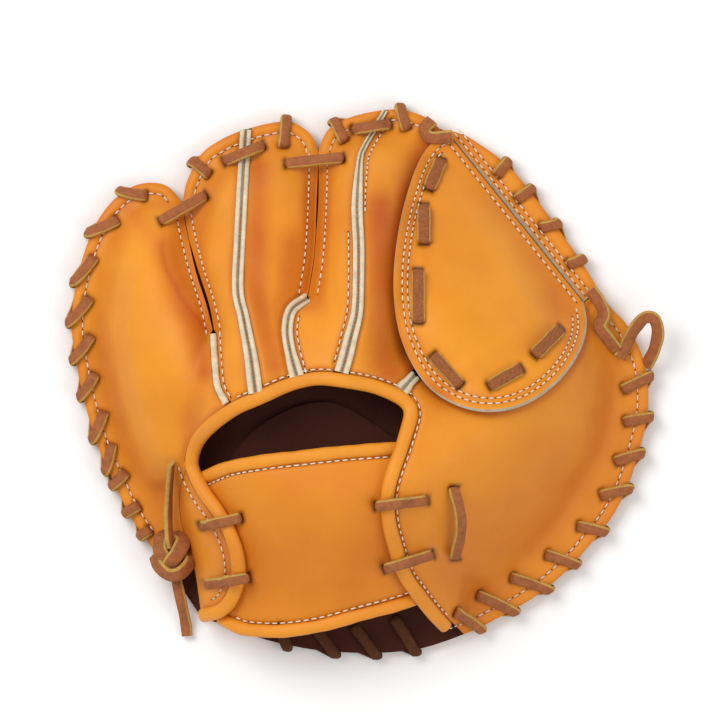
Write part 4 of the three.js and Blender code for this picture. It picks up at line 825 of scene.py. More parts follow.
def lace_piece(glove, name, runs, width, materials, node, lean=LEAN):
    """One or more flat laces as one piece: brown faces and raw yellow edges. A lean shows one edge more."""
    vertices, faces, kinds = [], [], []
    start = 0
    raw_sides = RAW_SIDES if lean else EVEN_RAW_SIDES
    section = np.array(LACE_SECTION if lean else EVEN_SECTION) * (width, glove.sizes.lace_thickness)
    for path, ups in runs:
        side = unit(np.cross(unit(np.gradient(path, axis=0)), ups))
        level = np.clip(ups[:, 2:], 0.0, 1.0)
        waver = 1 + WAVER * np.sin(path[:, :1] * WAVER_X + path[:, 1:2] * WAVER_Y)
        pinch = (waver * (1 - PINCH + PINCH * smooth(np.abs(ups[:, 2:]) * 1.25)))[..., None]
        pinched = section * np.dstack((pinch, np.ones_like(pinch)))
        points, quads = tube(path, ups + lean * level * side, pinched)
        for index, quad in enumerate(quads):
            faces.append(tuple(int(corner) + start for corner in quad))
            kinds.append(int(len(quad) == 3 or index % len(section) in raw_sides))
        vertices.append(points)
        start += len(points)
    return piece(name, np.vstack(vertices) + glove.shift, faces, materials, node,
                 face_material=kinds)


def lift(glove, height, point, out, width):
    """Height of a lace's middle where it lies over leather that may slope across its width."""
    across = np.array((-out[1], out[0])) * 0.45 * width
    sides = np.array([point - across, point, point + across])
    lie = 0.1 * MM + glove.sizes.lace_thickness / 2
    return float(height(sides).max() + lie * glove.steepness(height, point[None])[0])


def rounded(path, ups, steps):
    """A smooth path through a lace's turning points, with its ups."""
    joint = catmull(np.hstack((np.array(path), 0.002 * unit(np.array(ups, float)))), steps)
    return joint[:, :3], unit(joint[:, 3:])


def staple(glove, row, width, height, arch, leg, steps, bow=0.0):
    """A lace out of one hole, over the leather and down another, bowed sideways if it is slack."""
    start, end = glove.spot(*row[:2]), glove.spot(*row[2:])
    along = unit(end - start)
    out = np.append(along, 0.0)
    turn = 1.1 * MM
    z_start, z_end = lift(glove, height, start, along, width), lift(glove, height, end, along, width)
    path = [np.append(start, z_start - leg), np.append(start, z_start - turn)]
    ups = [-out, -out]
    first, last = start + along * turn, end - along * turn
    for share in np.linspace(0.0, 1.0, steps + 1):
        shares = np.clip(share + np.array((-0.5, 0.0, 0.5)) / steps, 0, 1)
        near = [lift(glove, height, first + (last - first) * place, along, width) for place in shares]
        rise = max(z_start + (z_end - z_start) * share, *near)
        swing = math.sin(math.pi * share)
        aside = np.array((along[1], -along[0])) * bow * swing
        path.append(np.append(first + (last - first) * share + aside, rise + arch * swing))
        ups.append(np.array((0.0, 0.0, 1.0)) + out * ((share > 0.99) - float(share < 0.01)) / 2)
    path += [np.append(end, z_end - turn), np.append(end, z_end - leg)]
    ups += [out, out]
    return rounded(path, ups, 14 * steps)


def whip(glove, rows, top):
    """Whip lacing: each stitch goes from its hole over the rim and back below to the next hole."""
    sizes = glove.sizes
    width = sizes.lace_width
    lie = sizes.gap + sizes.lace_thickness / 2
    edge_lift = lie + sizes.gap
    up = np.array((0.0, 0.0, 1.0))
    depth = lambda p: -glove.palm_under(p)
    path, ups = [], []

    def add(p, z, facing):
        """One more turning point of the lace, and the way its face looks there."""
        path.append(np.append(p, z))
        ups.append(facing)

    for index, row in enumerate(rows):
        hole, over_rim = glove.spot(*row[:2]), glove.spot(*row[2:])
        at = nearest(glove.rim, over_rim)
        rim = glove.rim[at]
        run = unit(glove.rim[(at + 1) % len(glove.rim)] - glove.rim[at - 1])
        away = np.array((-run[1], run[0]))
        flat = unit(rim - hole)
        out, square = np.append(flat, 0.0), np.append(away, 0.0)
        under, over = glove.palm_under(hole[None])[0], top(hole[None])[0]
        if index == 0:
            add(hole, under + sizes.palm_leather / 2, -out)
        add(hole, (under + over) / 2, -out)
        add(hole + flat * LACE_HUMP, lift(glove, top, hole, flat, width), up - LACE_TIP * out)
        near = [lift(glove, top, hole + (rim - hole) * share, flat, width) for share in (0.3, 0.5, 0.7)]
        add((hole + rim) / 2, max(near) + LACE_HUMP, up)
        rim_top = top(rim[None])[0]
        add(rim + away * RIM_ROUND, rim_top + edge_lift, up + LACE_TIP * square)
        middle = (glove.rim_level + rim_top - sizes.palm_leather) / 2
        add(rim + away * (edge_lift + RIM_ROUND / 2), middle, square)
        low = glove.rim_level - sizes.palm_leather - edge_lift
        add(rim + away * RIM_ROUND, low, -up + LACE_TIP * square)
        if index + 1 < len(rows):
            following = glove.spot(*rows[index + 1][:2])
            below, inner = (rim + following) / 2, following + (rim - following) * 0.05
            add(below, -lift(glove, depth, below, flat, width) - LACE_HUMP, -up)
            add(inner, -lift(glove, depth, following, flat, width), -up - LACE_TIP * out)
        else:
            end = rim - flat * 1.4 * width
            add(end, -lift(glove, depth, end, flat, width), -up)
    return rounded(path, ups, 9 * len(path))


def node_tree(name, kind, inputs, outputs):
    """An empty node group with a named interface."""
    tree = bpy.data.node_groups.new(name, kind)
    for label, socket, default in inputs:
        item = tree.interface.new_socket(name=label, in_out="INPUT", socket_type=socket)
        if default is not None:
            item.default_value = default
    for label, socket in outputs:
        tree.interface.new_socket(name=label, in_out="OUTPUT", socket_type=socket)
    return tree, tree.nodes.new("NodeGroupInput"), tree.nodes.new("NodeGroupOutput")


def add_node(tree, kind, links=None, **settings):
    """A node with its settings, and its inputs set to values or linked to sockets."""
    made = tree.nodes.new(kind)
    for key, value in settings.items():
        setattr(made, key, value)
    for key, value in (links or {}).items():
        if isinstance(value, bpy.types.NodeSocket):
            tree.links.new(value, made.inputs[key])
        else:
            made.inputs[key].default_value = value
    return made


def grain_group():
    """Leather grain: a normal from fine pores and soft wrinkles, and a mottling mask."""
    tree, given, result = node_tree("Leather grain", "ShaderNodeTree", (
        ("Pore size", "NodeSocketFloat", 0.0011), ("Wrinkle size", "NodeSocketFloat", 0.012),
        ("Depth", "NodeSocketFloat", 0.25)), (("Normal", "NodeSocketVector"), ("Mottle", "NodeSocketFloat")))
    place = add_node(tree, "ShaderNodeTexCoord").outputs["Object"]
    pore_scale, fold_scale = (
        add_node(tree, "ShaderNodeMath", {0: 1.0, 1: given.outputs[size]}, operation="DIVIDE")
        for size in ("Pore size", "Wrinkle size"))
    pores = add_node(tree, "ShaderNodeTexVoronoi", {"Vector": place, "Scale": pore_scale.outputs[0]},
                     feature="DISTANCE_TO_EDGE")
    folds = add_node(tree, "ShaderNodeTexNoise", {
        "Vector": place, "Scale": fold_scale.outputs[0], "Detail": 6.0, "Roughness": 0.6, "Distortion": 0.6})
    broad = add_node(tree, "ShaderNodeTexNoise", {
        "Vector": place, "Scale": 22.0, "Detail": 4.0, "Roughness": 0.55})
    small = add_node(tree, "ShaderNodeMapRange", {
        "Value": pores.outputs["Distance"], "From Min": 0.0, "From Max": 0.12, "To Min": 0.0, "To Max": 0.10})
    total = add_node(tree, "ShaderNodeMath", {0: folds.outputs[0], 1: small.outputs[0]}, operation="ADD")
    bump = add_node(tree, "ShaderNodeBump", {
        "Height": total.outputs[0], "Strength": given.outputs["Depth"], "Distance": 0.0012})
    tree.links.new(bump.outputs[0], result.inputs["Normal"])
    tree.links.new(broad.outputs[0], result.inputs["Mottle"])
    return tree


# Painted shadow in the lace holes and slots, which are pressed in but not cut.
HOLE_SHADOW_TONE = (0.03, 0.008, 0.003, 1.0)


def mottle_and_shade_group():
    """Leather colour: lit and deep tones mixed by mottling and by the painted shade of the seam mark, then
    painted shadow from the hole mark.
    """
    tree, given, result = node_tree("Leather wear", "ShaderNodeTree", (
        ("Lit", "NodeSocketColor", None), ("Deep", "NodeSocketColor", None),
        ("Mottle", "NodeSocketFloat", 0.5)), (("Colour", "NodeSocketColor"),))
    # The seam attribute holds painted shade, and the hole attribute painted shadow.
    seam = add_node(tree, "ShaderNodeAttribute", attribute_name="seam")
    hole = add_node(tree, "ShaderNodeAttribute", attribute_name="hole")
    spots = add_node(tree, "ShaderNodeMapRange", {
        "Value": given.outputs["Mottle"], "From Min": 0.35, "From Max": 0.72, "To Min": 0.0, "To Max": 0.30})
    deep = add_node(tree, "ShaderNodeMath", {0: seam.outputs["Fac"], 1: 0.85, 2: spots.outputs[0]},
                    operation="MULTIPLY_ADD", use_clamp=True)
    mix = tree.nodes.new("ShaderNodeMix")
    mix.data_type = "RGBA"
    tree.links.new(deep.outputs[0], mix.inputs[0])
    tree.links.new(given.outputs["Lit"], mix.inputs[6])
    tree.links.new(given.outputs["Deep"], mix.inputs[7])
    hole_shadow = tree.nodes.new("ShaderNodeMix")
    hole_shadow.data_type = "RGBA"
    hole_shadow.inputs[7].default_value = HOLE_SHADOW_TONE
    tree.links.new(hole.outputs["Fac"], hole_shadow.inputs[0])
    tree.links.new(mix.outputs[2], hole_shadow.inputs[6])
    tree.links.new(hole_shadow.outputs[2], result.inputs["Colour"])
    return tree


def shaded(name, roughness, shine):
    """A material with its Principled shader, ready to be linked."""
    made = bpy.data.materials.new(name)
    made.use_nodes = True
    shader = made.node_tree.nodes["Principled BSDF"]
    shader.inputs["Roughness"].default_value = roughness
    shader.inputs["Specular IOR Level"].default_value = shine
    return made, made.node_tree, shader


def leather_material(name, lit, deep, roughness, shine, depth):
    """Grained leather whose tone follows its mottle and the painted shade and shadow of its marks."""
    made, tree, shader = shaded(name, roughness, shine)
    grain = add_node(tree, "ShaderNodeGroup", node_tree=bpy.data.node_groups["Leather grain"])
    grain.inputs["Depth"].default_value = depth
    mottle_and_shade = add_node(tree, "ShaderNodeGroup", node_tree=bpy.data.node_groups["Leather wear"])
    mottle_and_shade.inputs["Lit"].default_value = (*lit, 1.0)
    mottle_and_shade.inputs["Deep"].default_value = (*deep, 1.0)
    tree.links.new(grain.outputs["Mottle"], mottle_and_shade.inputs["Mottle"])
    tree.links.new(mottle_and_shade.outputs["Colour"], shader.inputs["Base Color"])
    tree.links.new(grain.outputs["Normal"], shader.inputs["Normal"])
    return made


MATT_SHINE = 0.2


def plain_material(name, base, spread_to, roughness, scale):
    """A matt finish with a fine mottle between two tones."""
    made, tree, shader = shaded(name, roughness, MATT_SHINE)
    place = add_node(tree, "ShaderNodeTexCoord").outputs["Object"]
    noise = add_node(tree, "ShaderNodeTexNoise", {
        "Vector": place, "Scale": scale, "Detail": 5.0, "Roughness": 0.65})
    ramp = add_node(tree, "ShaderNodeMapRange", {"Value": noise.outputs[0], "From Min": 0.3, "From Max": 0.7})
    mix = tree.nodes.new("ShaderNodeMix")
    mix.data_type = "RGBA"
    mix.inputs[6].default_value = (*base, 1.0)
    mix.inputs[7].default_value = (*spread_to, 1.0)
    tree.links.new(ramp.outputs[0], mix.inputs[0])
    tree.links.new(mix.outputs[2], shader.inputs["Base Color"])
    bump = add_node(tree, "ShaderNodeBump", {
        "Height": noise.outputs[0], "Strength": 0.35, "Distance": 0.0004})
    tree.links.new(bump.outputs[0], shader.inputs["Normal"])
    return made


def scaled(tone, factor):
    """A tone made lighter or darker."""
    return tuple(min(1.0, value * factor) for value in tone)


# Matt finishes. Columns: the colour, factors of its light and its dark tone, roughness, mottle scale.
PLAIN_FINISHES = {
    "lace_face": ("lace", 1, 0.62, 0.75, 420.0),
    "suede_lace": ("lace", 0.92, 0.5, 0.9, 900.0),
    "lace_edge": ("lace_edge", 1, 0.7, 0.8, 500.0),
    # Lace darkened as painted shade: the heel laces, which lie in shade, and the needle holes of the
    # stitches.
    "dark_lace": ("lace", 0.3, 0.16, 0.8, 420.0),
    "welt": ("welt", 1, 0.72, 0.75, 300.0),
    # Painted shade in the groove between the strands of a double welt.
    "groove": ("welt", 0.42, 0.3, 0.8, 300.0),
    "raw_edge": ("welt", 0.6, 0.4, 0.8, 300.0),
    "thread": ("thread", 1, 0.8, 0.7, 900.0),
    "floor": ("floor", 1, 1, 0.9, 5.0),
}


class GLOVE_OT_materials(bpy.types.Operator):
    """Make every finish of the glove and its floor"""
    bl_idname = "glove.materials"
    bl_label = "Materials"

    def execute(self, context):
        tones = context.scene.glove_colours
        grain_group()
        mottle_and_shade_group()
        lit, deep, lining = tones.leather, tones.leather_deep, tones.lining
        leather_material("shell_leather", lit, deep, roughness=0.46, shine=0.24, depth=0.26)
        leather_material("rolled_leather", lit, deep, roughness=0.48, shine=0.30, depth=0.38)
        # The inside faces take the lining colour, which holds painted shade.
        leather_material("inner_leather", lining, scaled(lining, 0.4), roughness=0.75, shine=0.15, depth=0.25)
        for name, (tone, high, low, roughness, scale) in PLAIN_FINISHES.items():
            tone = getattr(tones, tone)
            plain_material(name, scaled(tone, high), scaled(tone, low), roughness, scale)
        return {"FINISHED"}


def finish(name):
    """A material made by the materials step."""
    return bpy.data.materials[name]


PALM_COLUMNS = 420
PALM_RINGS = 61
# Sides of the lining. Columns: x and y as in the outlines.
LINING_SIDES = {
    "left": ((-0.44, -0.81), (-0.44, -0.70), (-0.47, -0.50), (-0.50, -0.36)),
    "right": ((0.17, -0.83), (0.16, -0.70), (0.14, -0.45), (0.16, -0.24)),
    "bottom": ((-0.44, -0.81), (-0.28, -0.835), (-0.03, -0.845), (0.17, -0.83)),
    "top": ((-0.50, -0.36), (-0.34, -0.16), (-0.10, -0.08), (0.16, -0.24)),
}


class GLOVE_OT_palm(bpy.types.Operator):
    """Build the padded palm shell with its ball pocket, and the lining over it, dark inside with painted
    shade
    """
    bl_idname = "glove.palm"
    bl_label = "Palm and lining"

    def execute(self, context):
        glove = shape(context)
        rim = resample(np.vstack((glove.rim, glove.rim[:1])), PALM_COLUMNS)[:-1]
        shares = np.linspace(0.0, 1.0, PALM_RINGS + 1)[1:]
        rings = glove.crown + shares[:, None, None] * (rim[None] - glove.crown)
        top = np.dstack((rings, glove.palm_top(rings)))
        under = np.dstack((rings, glove.palm_under(rings)))
        rows, columns = rings.shape[:2]
        crown = [np.append(glove.crown, height(glove.crown[None])[0])
                 for height in (glove.palm_top, glove.palm_under)]
        count = rows * columns
        vertices = np.vstack((top.reshape(-1, 3), under.reshape(-1, 3), *crown))
        faces = [tuple(face) for face in grid_faces(rows, columns, ring=True)]
        inner = len(faces)
        faces += [tuple(face) for face in grid_faces(rows, columns, count, flip=True, ring=True)]
        for j in range(columns):
            k = (j + 1) % columns
            edge = (rows - 1) * columns
            faces.append((2 * count, k, j))
            faces.append((2 * count + 1, count + j, count + k))
            faces.append((edge + j, edge + k, count + edge + k, count + edge + j))
        kinds = [0] * inner + [1] * inner + [0, 1, 1] * columns
        piece("palm_shell", vertices + glove.shift, faces, [finish("inner_leather"), finish("shell_leather")],
              "palm", face_material=kinds)
        sides = {name: glove.path(rows) for name, rows in LINING_SIDES.items()}
        grid = spread(step=2 * glove.sizes.mesh_step, **sides)
        upper = glove.lining_top(grid)
        vertices, faces = walled(grid, upper, upper - glove.sizes.lining_leather)
        piece("lining_leather", vertices + glove.shift, faces, [finish("inner_leather")], "palm_lining")
        return {"FINISHED"}


# Where each slit stands open. Columns: both ends as shares of its length, share of the slit width.
OPEN_SHARES = {"little_slit": (-0.05, 0.70, 0.7), "middle_slit": (0.45, 0.88, 0.35)}


def seam_sides(glove):
    """Edges of the panels beside each welt and slit, by sign: 1 on its left, -1 on its right."""
    sizes, lines = glove.sizes, glove.lines
    single = sizes.single_welt / 2 + sizes.seam_gap
    double = lambda line: glove.welt_half(line) + sizes.seam_gap

    def slit(gap):
        """Half the width of a slit along its length: open only where the photograph shows it dark."""
        low, high, wide = OPEN_SHARES[gap]
        share = np.linspace(0.0, 1.0, len(lines[gap]))[:, None]
        gape = np.clip(1 - ((share - (low + high) / 2) / ((high - low) / 2)) ** 2, 0.0, 1.0)
        return sizes.seam_gap + sizes.slit_width / 2 * wide * gape

    joined = lambda welt, gap, reach, sign: np.vstack((
        beside(lines[welt], sign * reach), beside(lines[gap], sign * slit(gap))[1:]))
    return {
        "little": lambda sign: joined("little_welt", "little_slit", single, sign),
        "middle": lambda sign: beside(lines["middle_welt"], sign * double("middle_welt")),
        "knuckle": lambda sign: joined("knuckle_welt", "middle_slit", double("knuckle_welt"), sign),
        "index": lambda sign: beside(lines["index_welt"], sign * double("index_welt")),
        "crotch": lambda sign: beside(lines["crotch_welt"], sign * double("crotch_welt")),
    }


# Steps of the paths under the web along which the crotch welt runs instead.
CROTCH_STEPS = 16


class GLOVE_OT_back(bpy.types.Operator):
    """Build the leather panels of the back: the finger stalls, the thumb, the web band and the tab"""
    bl_idname = "glove.back"
    bl_label = "Back panels"

    def execute(self, context):
        glove = shape(context)
        sizes, lines, rims = glove.sizes, glove.lines, glove.rims
        step = sizes.mesh_step
        seam = seam_sides(glove)
        edge = beside(lines["opening"], sizes.binding_width / 2 + sizes.seam_gap)
        tab = beside(lines["tab_edge"], sizes.seam_gap)
        rim_little = rims["little"]
        tip = glove.spot(-0.90, 0.60)
        left = stretch(rim_little, glove.spot(-0.69, -0.66), tip)
        low = tab[nearest(tab, glove.spot(-0.61, -0.60))]
        right = np.vstack((stretch(tab, low, tab[-1]), stretch(edge, tab[-1], lines["little_welt"][0]),
                           seam["little"](1)))
        panels = {"little_finger_back": dict(
            left=left, right=right, bottom=np.array((left[0], low)),
            top=stretch(rim_little, tip, rim_little[-1]))}
        under_web = np.vstack((seam["crotch"](1), lines["index_under_web"][CROTCH_STEPS:]))
        fingers = (
            ("middle_finger_outer_back", seam["little"](-1), seam["middle"](1), rims["middle"], 0, None),
            ("middle_finger_inner_back", seam["middle"](-1), seam["knuckle"](1), rims["middle"], None, -1),
            ("index_finger_outer_back", seam["knuckle"](-1), seam["index"](1), rims["index"], 0, None),
            ("index_finger_inner_back", seam["index"](-1), under_web, rims["index"], None, -1))
        for name, left, right, rim, start, end in fingers:
            rim_start = rim[start] if start is not None else left[-1]
            rim_end = rim[end] if end is not None else right[-1]
            panels[name] = dict(left=left, right=right, bottom=stretch(edge, left[0], right[0]),
                                top=stretch(rim, rim_start, rim_end))
        corner, heel = glove.spot(0.78, -0.625), glove.spot(0.365, -0.93)
        thumb = rims["thumb"]
        panels["thumb_back"] = dict(
            left=np.vstack((stretch(edge, edge[-1], glove.spot(0.212, -0.074)), seam["crotch"](-1))),
            right=stretch(thumb, corner, thumb[0]), bottom=stretch(thumb[::-1], heel, corner),
            top=lines["thumb_under_web"][CROTCH_STEPS:])
        fold = beside(lines["web_fold"], sizes.gap / 2)
        panels["web_rim_band"] = dict(
            left=fold, right=rims["web"], bottom=np.array((fold[0], rims["web"][0])),
            top=np.array((fold[-1], rims["web"][-1])))
        panels["wrist_tab"] = dict(
            left=lines["tab_edge"], right=stretch(edge, edge[0], lines["tab_edge"][-1]),
            bottom=np.array((lines["tab_edge"][0], edge[0])),
            top=np.array((lines["tab_edge"][-1], edge[nearest(edge, lines["tab_edge"][-1])])))
        for name, sides in panels.items():
            band = name == "web_rim_band"
            leather_panel(glove, name, spread(step=step, **sides), glove.back_top, glove.back_under,
                          glove.seams["band" if band else "back"], ("left", "top") if band else ())
        return {"FINISHED"}


class GLOVE_OT_web(bpy.types.Operator):
    """Build the closed web panel"""
    bl_idname = "glove.web"
    bl_label = "Web panel"

    def execute(self, context):
        glove = shape(context)
        edge = glove.lines["web_edge"]
        fold = beside(glove.lines["web_fold"], -glove.sizes.gap / 2)
        side, corner = glove.spot(0.14, 0.15), glove.spot(0.775, 0.29)
        grid = spread(
            left=stretch(edge, side, edge[0]), right=stretch(fold, corner, fold[0]),
            bottom=stretch(edge, side, edge[-1]), top=np.array((edge[0], fold[0])),
            step=glove.sizes.mesh_step)
        leather_panel(glove, "web_panel", grid, glove.web_top, glove.web_under, glove.seams["web"],
                      ("left", "bottom"))
        return {"FINISHED"}


class GLOVE_OT_strap(bpy.types.Operator):
    """Build the wrist strap with its two rolled edges"""
    bl_idname = "glove.strap"
    bl_label = "Wrist strap"

    def execute(self, context):
        glove = shape(context)
        sizes, lines = glove.sizes, glove.lines
        reach = sizes.strap_roll / 2
        top, bottom = beside(lines["strap_top"], -reach), beside(lines["strap_bottom"], reach)
        tucked = beside(lines["opening"], 7 * MM)
        grid = spread(left=stretch(tucked, bottom[0], top[0]), right=stretch(tucked, bottom[-1], top[-1]),
                      bottom=bottom, top=top, step=sizes.mesh_step)
        leather_panel(glove, "wrist_strap", grid, glove.strap_top, glove.strap_under, glove.seams["strap"])
        middle = lambda p: (glove.strap_top(p) + glove.strap_under(p)) / 2
        for node, line in (("strap_top_binding", "strap_top"), ("strap_bottom_binding", "strap_bottom")):
            roll_piece(glove, node, resample(lines[line], 120), middle,
                       oval(sizes.strap_roll, 0.8 * sizes.strap_roll))
        return {"FINISHED"}


def roll_piece(glove, node, plan, height, section, material="rolled_leather"):
    """A roll of leather along a plan path, a little uneven along its length."""
    path = np.column_stack((plan, height(plan)))
    ups = np.broadcast_to((0.0, 0.0, 1.0), path.shape)
    along = np.linspace(0.0, 1.0, len(path))[:, None, None]
    uneven = 1
    for share, turns, start in ROLL_WAVES:
        uneven = uneven + share * np.sin(turns * along + start)
    vertices, faces = tube(path, ups, section[None] * uneven)
    return piece(f"{node}_roll", vertices + glove.shift, faces, [finish(material)], node)


class GLOVE_OT_bindings(bpy.types.Operator):
    """Build the rolled binding round the opening"""
    bl_idname = "glove.bindings"
    bl_label = "Opening binding"

    def execute(self, context):
        glove = shape(context)
        plan = resample(glove.lines["opening"], 300)
        roll_piece(glove, "opening_binding", plan, glove.opening_height,
                   oval(glove.sizes.binding_width, glove.sizes.binding_height))
        return {"FINISHED"}


WELTS = {
    "welt_little_finger": "little_welt", "welt_middle_finger": "middle_welt", "welt_knuckle": "knuckle_welt",
    "welt_index_finger": "index_welt", "welt_thumb_crotch": "crotch_welt"}
# Strands of a double welt. Columns: place and width as shares of half its width, height as a share of
# its height, and its material. The last one is the groove between the other two, coloured as painted shade.
WELT_STRANDS = ((0.6, 0.84, 1.0, 0), (-0.6, 0.84, 1.0, 0), (0.0, 0.8, 0.6, 1))
WELT_SIDES, WELT_FULLNESS = 12, 2.6
WELT_SINK = 0.4 * MM
WELT_TUCK = 1.8 * MM


class GLOVE_OT_welts(bpy.types.Operator):
    """Build the grey welts between the finger panels"""
    bl_idname = "glove.welts"
    bl_label = "Welts"

    def execute(self, context):
        glove = shape(context)
        sizes = glove.sizes
        height = lambda p: glove.back_top(p) - WELT_SINK
        for node, line in WELTS.items():
            plan, half = glove.lines[line], glove.welt_half(line)
            run_in = unit(plan[0] - plan[3]) * WELT_TUCK
            joint = np.hstack((np.vstack((plan[:1] + run_in, plan)), np.vstack((half[:1], half))))
            joint = resample(joint, 130)
            if node == "welt_thumb_crotch":
                joint = joint[:75]
            plan, half = joint[:, :2], joint[:, 2:]
            if node == "welt_little_finger":
                section = oval(sizes.single_welt, sizes.welt_height, WELT_SIDES, WELT_FULLNESS)
                roll_piece(glove, node, plan, height, section, "welt")
                continue
            vertices, faces, kinds, start = [], [], [], 0
            for aside, wide, tall, kind in WELT_STRANDS:
                path = np.column_stack((beside(plan, aside * half), height(plan)))
                reach = np.dstack((wide * half, np.full_like(half, tall * sizes.welt_height)))
                section = oval(1.0, 1.0, WELT_SIDES, WELT_FULLNESS)[None] * reach
                points, quads = tube(path, np.broadcast_to((0.0, 0.0, 1.0), path.shape), section)
                vertices.append(points)
                faces += [tuple(int(corner) + start for corner in quad) for quad in quads]
                kinds += [kind] * len(quads)
                start += len(points)
            piece(f"{node}_pair", np.vstack(vertices) + glove.shift, faces,
                  [finish("welt"), finish("groove")], node, face_material=kinds)
        return {"FINISHED"}


class GLOVE_OT_laces(bpy.types.Operator):
    """Build the laces: whip lacing round the rim, bars and free runs"""
    bl_idname = "glove.laces"
    bl_label = "Laces"

    def execute(self, context):
        glove = shape(context)
        sizes = glove.sizes
        brown = [finish("lace_face"), finish("lace_edge")]
        for name, rows in WHIPS.items():
            heel = name == "heel"
            run = whip(glove, rows, glove.palm_top if heel else glove.back_top)
            # The heel laces are painted dark as shade.
            lace_piece(glove, f"rim_whip_{name}", [run], sizes.lace_width,
                       [finish("dark_lace")] * 2 if heel else brown, f"rim_lace_{name}")
        leg = sizes.back_leather + sizes.lace_thickness + 1 * MM
        # Bars by kind. Columns: surface, width, arch, leg, steps and sideways bow.
        kinds = {
            "web_lace": (glove.web_top, sizes.web_lace_width, -0.7 * MM, leg + 3.4 * MM, 4, 0.0),
            "finger_gap_lace": (glove.back_top, sizes.lace_width, 0.6 * MM, leg, 4, 0.0),
            "fingertip_lace": (glove.back_top, sizes.lace_width, 1.5 * sizes.welt_height, leg, 6, 0.0),
            "strap_lace": (glove.over_opening, sizes.lace_width, 0.8 * MM, leg + 2 * MM, 6, 0.0),
            "thumb_lace": (glove.back_top, sizes.lace_width, 2 * MM, leg, 4, 2.6 * MM)}
        suede = [finish("suede_lace"), finish("lace_edge")]
        for name, (height, width, arch, reach, steps, bow) in kinds.items():
            web = name == "web_lace"
            for index, row in enumerate(BARS[name], 1):
                run = staple(glove, row, width, height, arch, reach, steps, bow)
                lace_piece(glove, f"{name}_bar_{index}", [run], width, suede if web else brown,
                           f"{name}_{index}", lean=0.0 if web else LEAN)
        for name, rows in FREE.items():
            north = np.array((0.0, 1.0))
            points = []
            for x, y, over in rows:
                spot = glove.spot(x, y)
                points.append((*spot, lift(glove, glove.back_top, spot, north, sizes.lace_width) + over * MM))
            path = catmull(points, 60)
            lace_piece(glove, f"{name}_run", [(path, np.broadcast_to((0.0, 0.0, 1.0), path.shape))],
                       1.15 * sizes.lace_width, brown, name)
        return {"FINISHED"}


KNOT_LIFT = 0.7 * MM
KNOT_ROUND = 11 * MM
KNOT_BAND_WIDTH = 7 * MM
KNOT_LEAN = 0.1
# The way that the face of each lace end looks.
TAIL_FACES = {"lace_tail_upper": (0.8, 0.0, 0.6), "lace_tail_lower": (-0.2, 0.0, 0.98)}
# An end sinks to the floor over this length, and is down this far outside the rim.
DROOP_LENGTH = 6 * MM
DROOP_END = 9 * MM


class GLOVE_OT_knot(bpy.types.Operator):
    """Build the knot and the two lace ends that leave it"""
    bl_idname = "glove.knot"
    bl_label = "Knot"

    def execute(self, context):
        glove = shape(context)
        sizes = glove.sizes
        brown = [finish("lace_face"), finish("lace_edge")]
        centre = glove.spot(*KNOT_CENTRE)
        base = glove.back_top(centre[None])[0] + KNOT_LIFT + 3 * sizes.lace_thickness
        runs = []
        for rows in KNOT_BANDS:
            points = [(*glove.spot(x, y), base + over * sizes.knot_height / 2) for x, y, over in rows]
            path = catmull(points, 40)
            bulge = (path[:, :2] - centre) / KNOT_ROUND
            runs.append((path, unit(np.column_stack((bulge, np.ones(len(path)))))))
        lace_piece(glove, "knot_bands", runs, KNOT_BAND_WIDTH, brown, "knot", lean=KNOT_LEAN)
        for node, rows in TAILS.items():
            plan = np.array([glove.spot(x, y) for x, y, _ in rows])
            droop = smooth((glove.inwards(plan)[0] + DROOP_END) / DROOP_LENGTH)
            north = np.array((0.0, 1.0))
            lies = np.array([lift(glove, glove.back_top, p, north, 2 * sizes.tail_width) for p in plan])
            over = np.array([row[2] for row in rows]) * MM
            path = catmull(np.column_stack((plan, lies * droop + sizes.tail_width / 2 + over)), 30)
            run = (path, np.broadcast_to(TAIL_FACES[node], path.shape))
            body = lace_piece(glove, f"{node}_end", [run], sizes.lace_width, brown, node, lean=KNOT_LEAN)
        return {"FINISHED"}


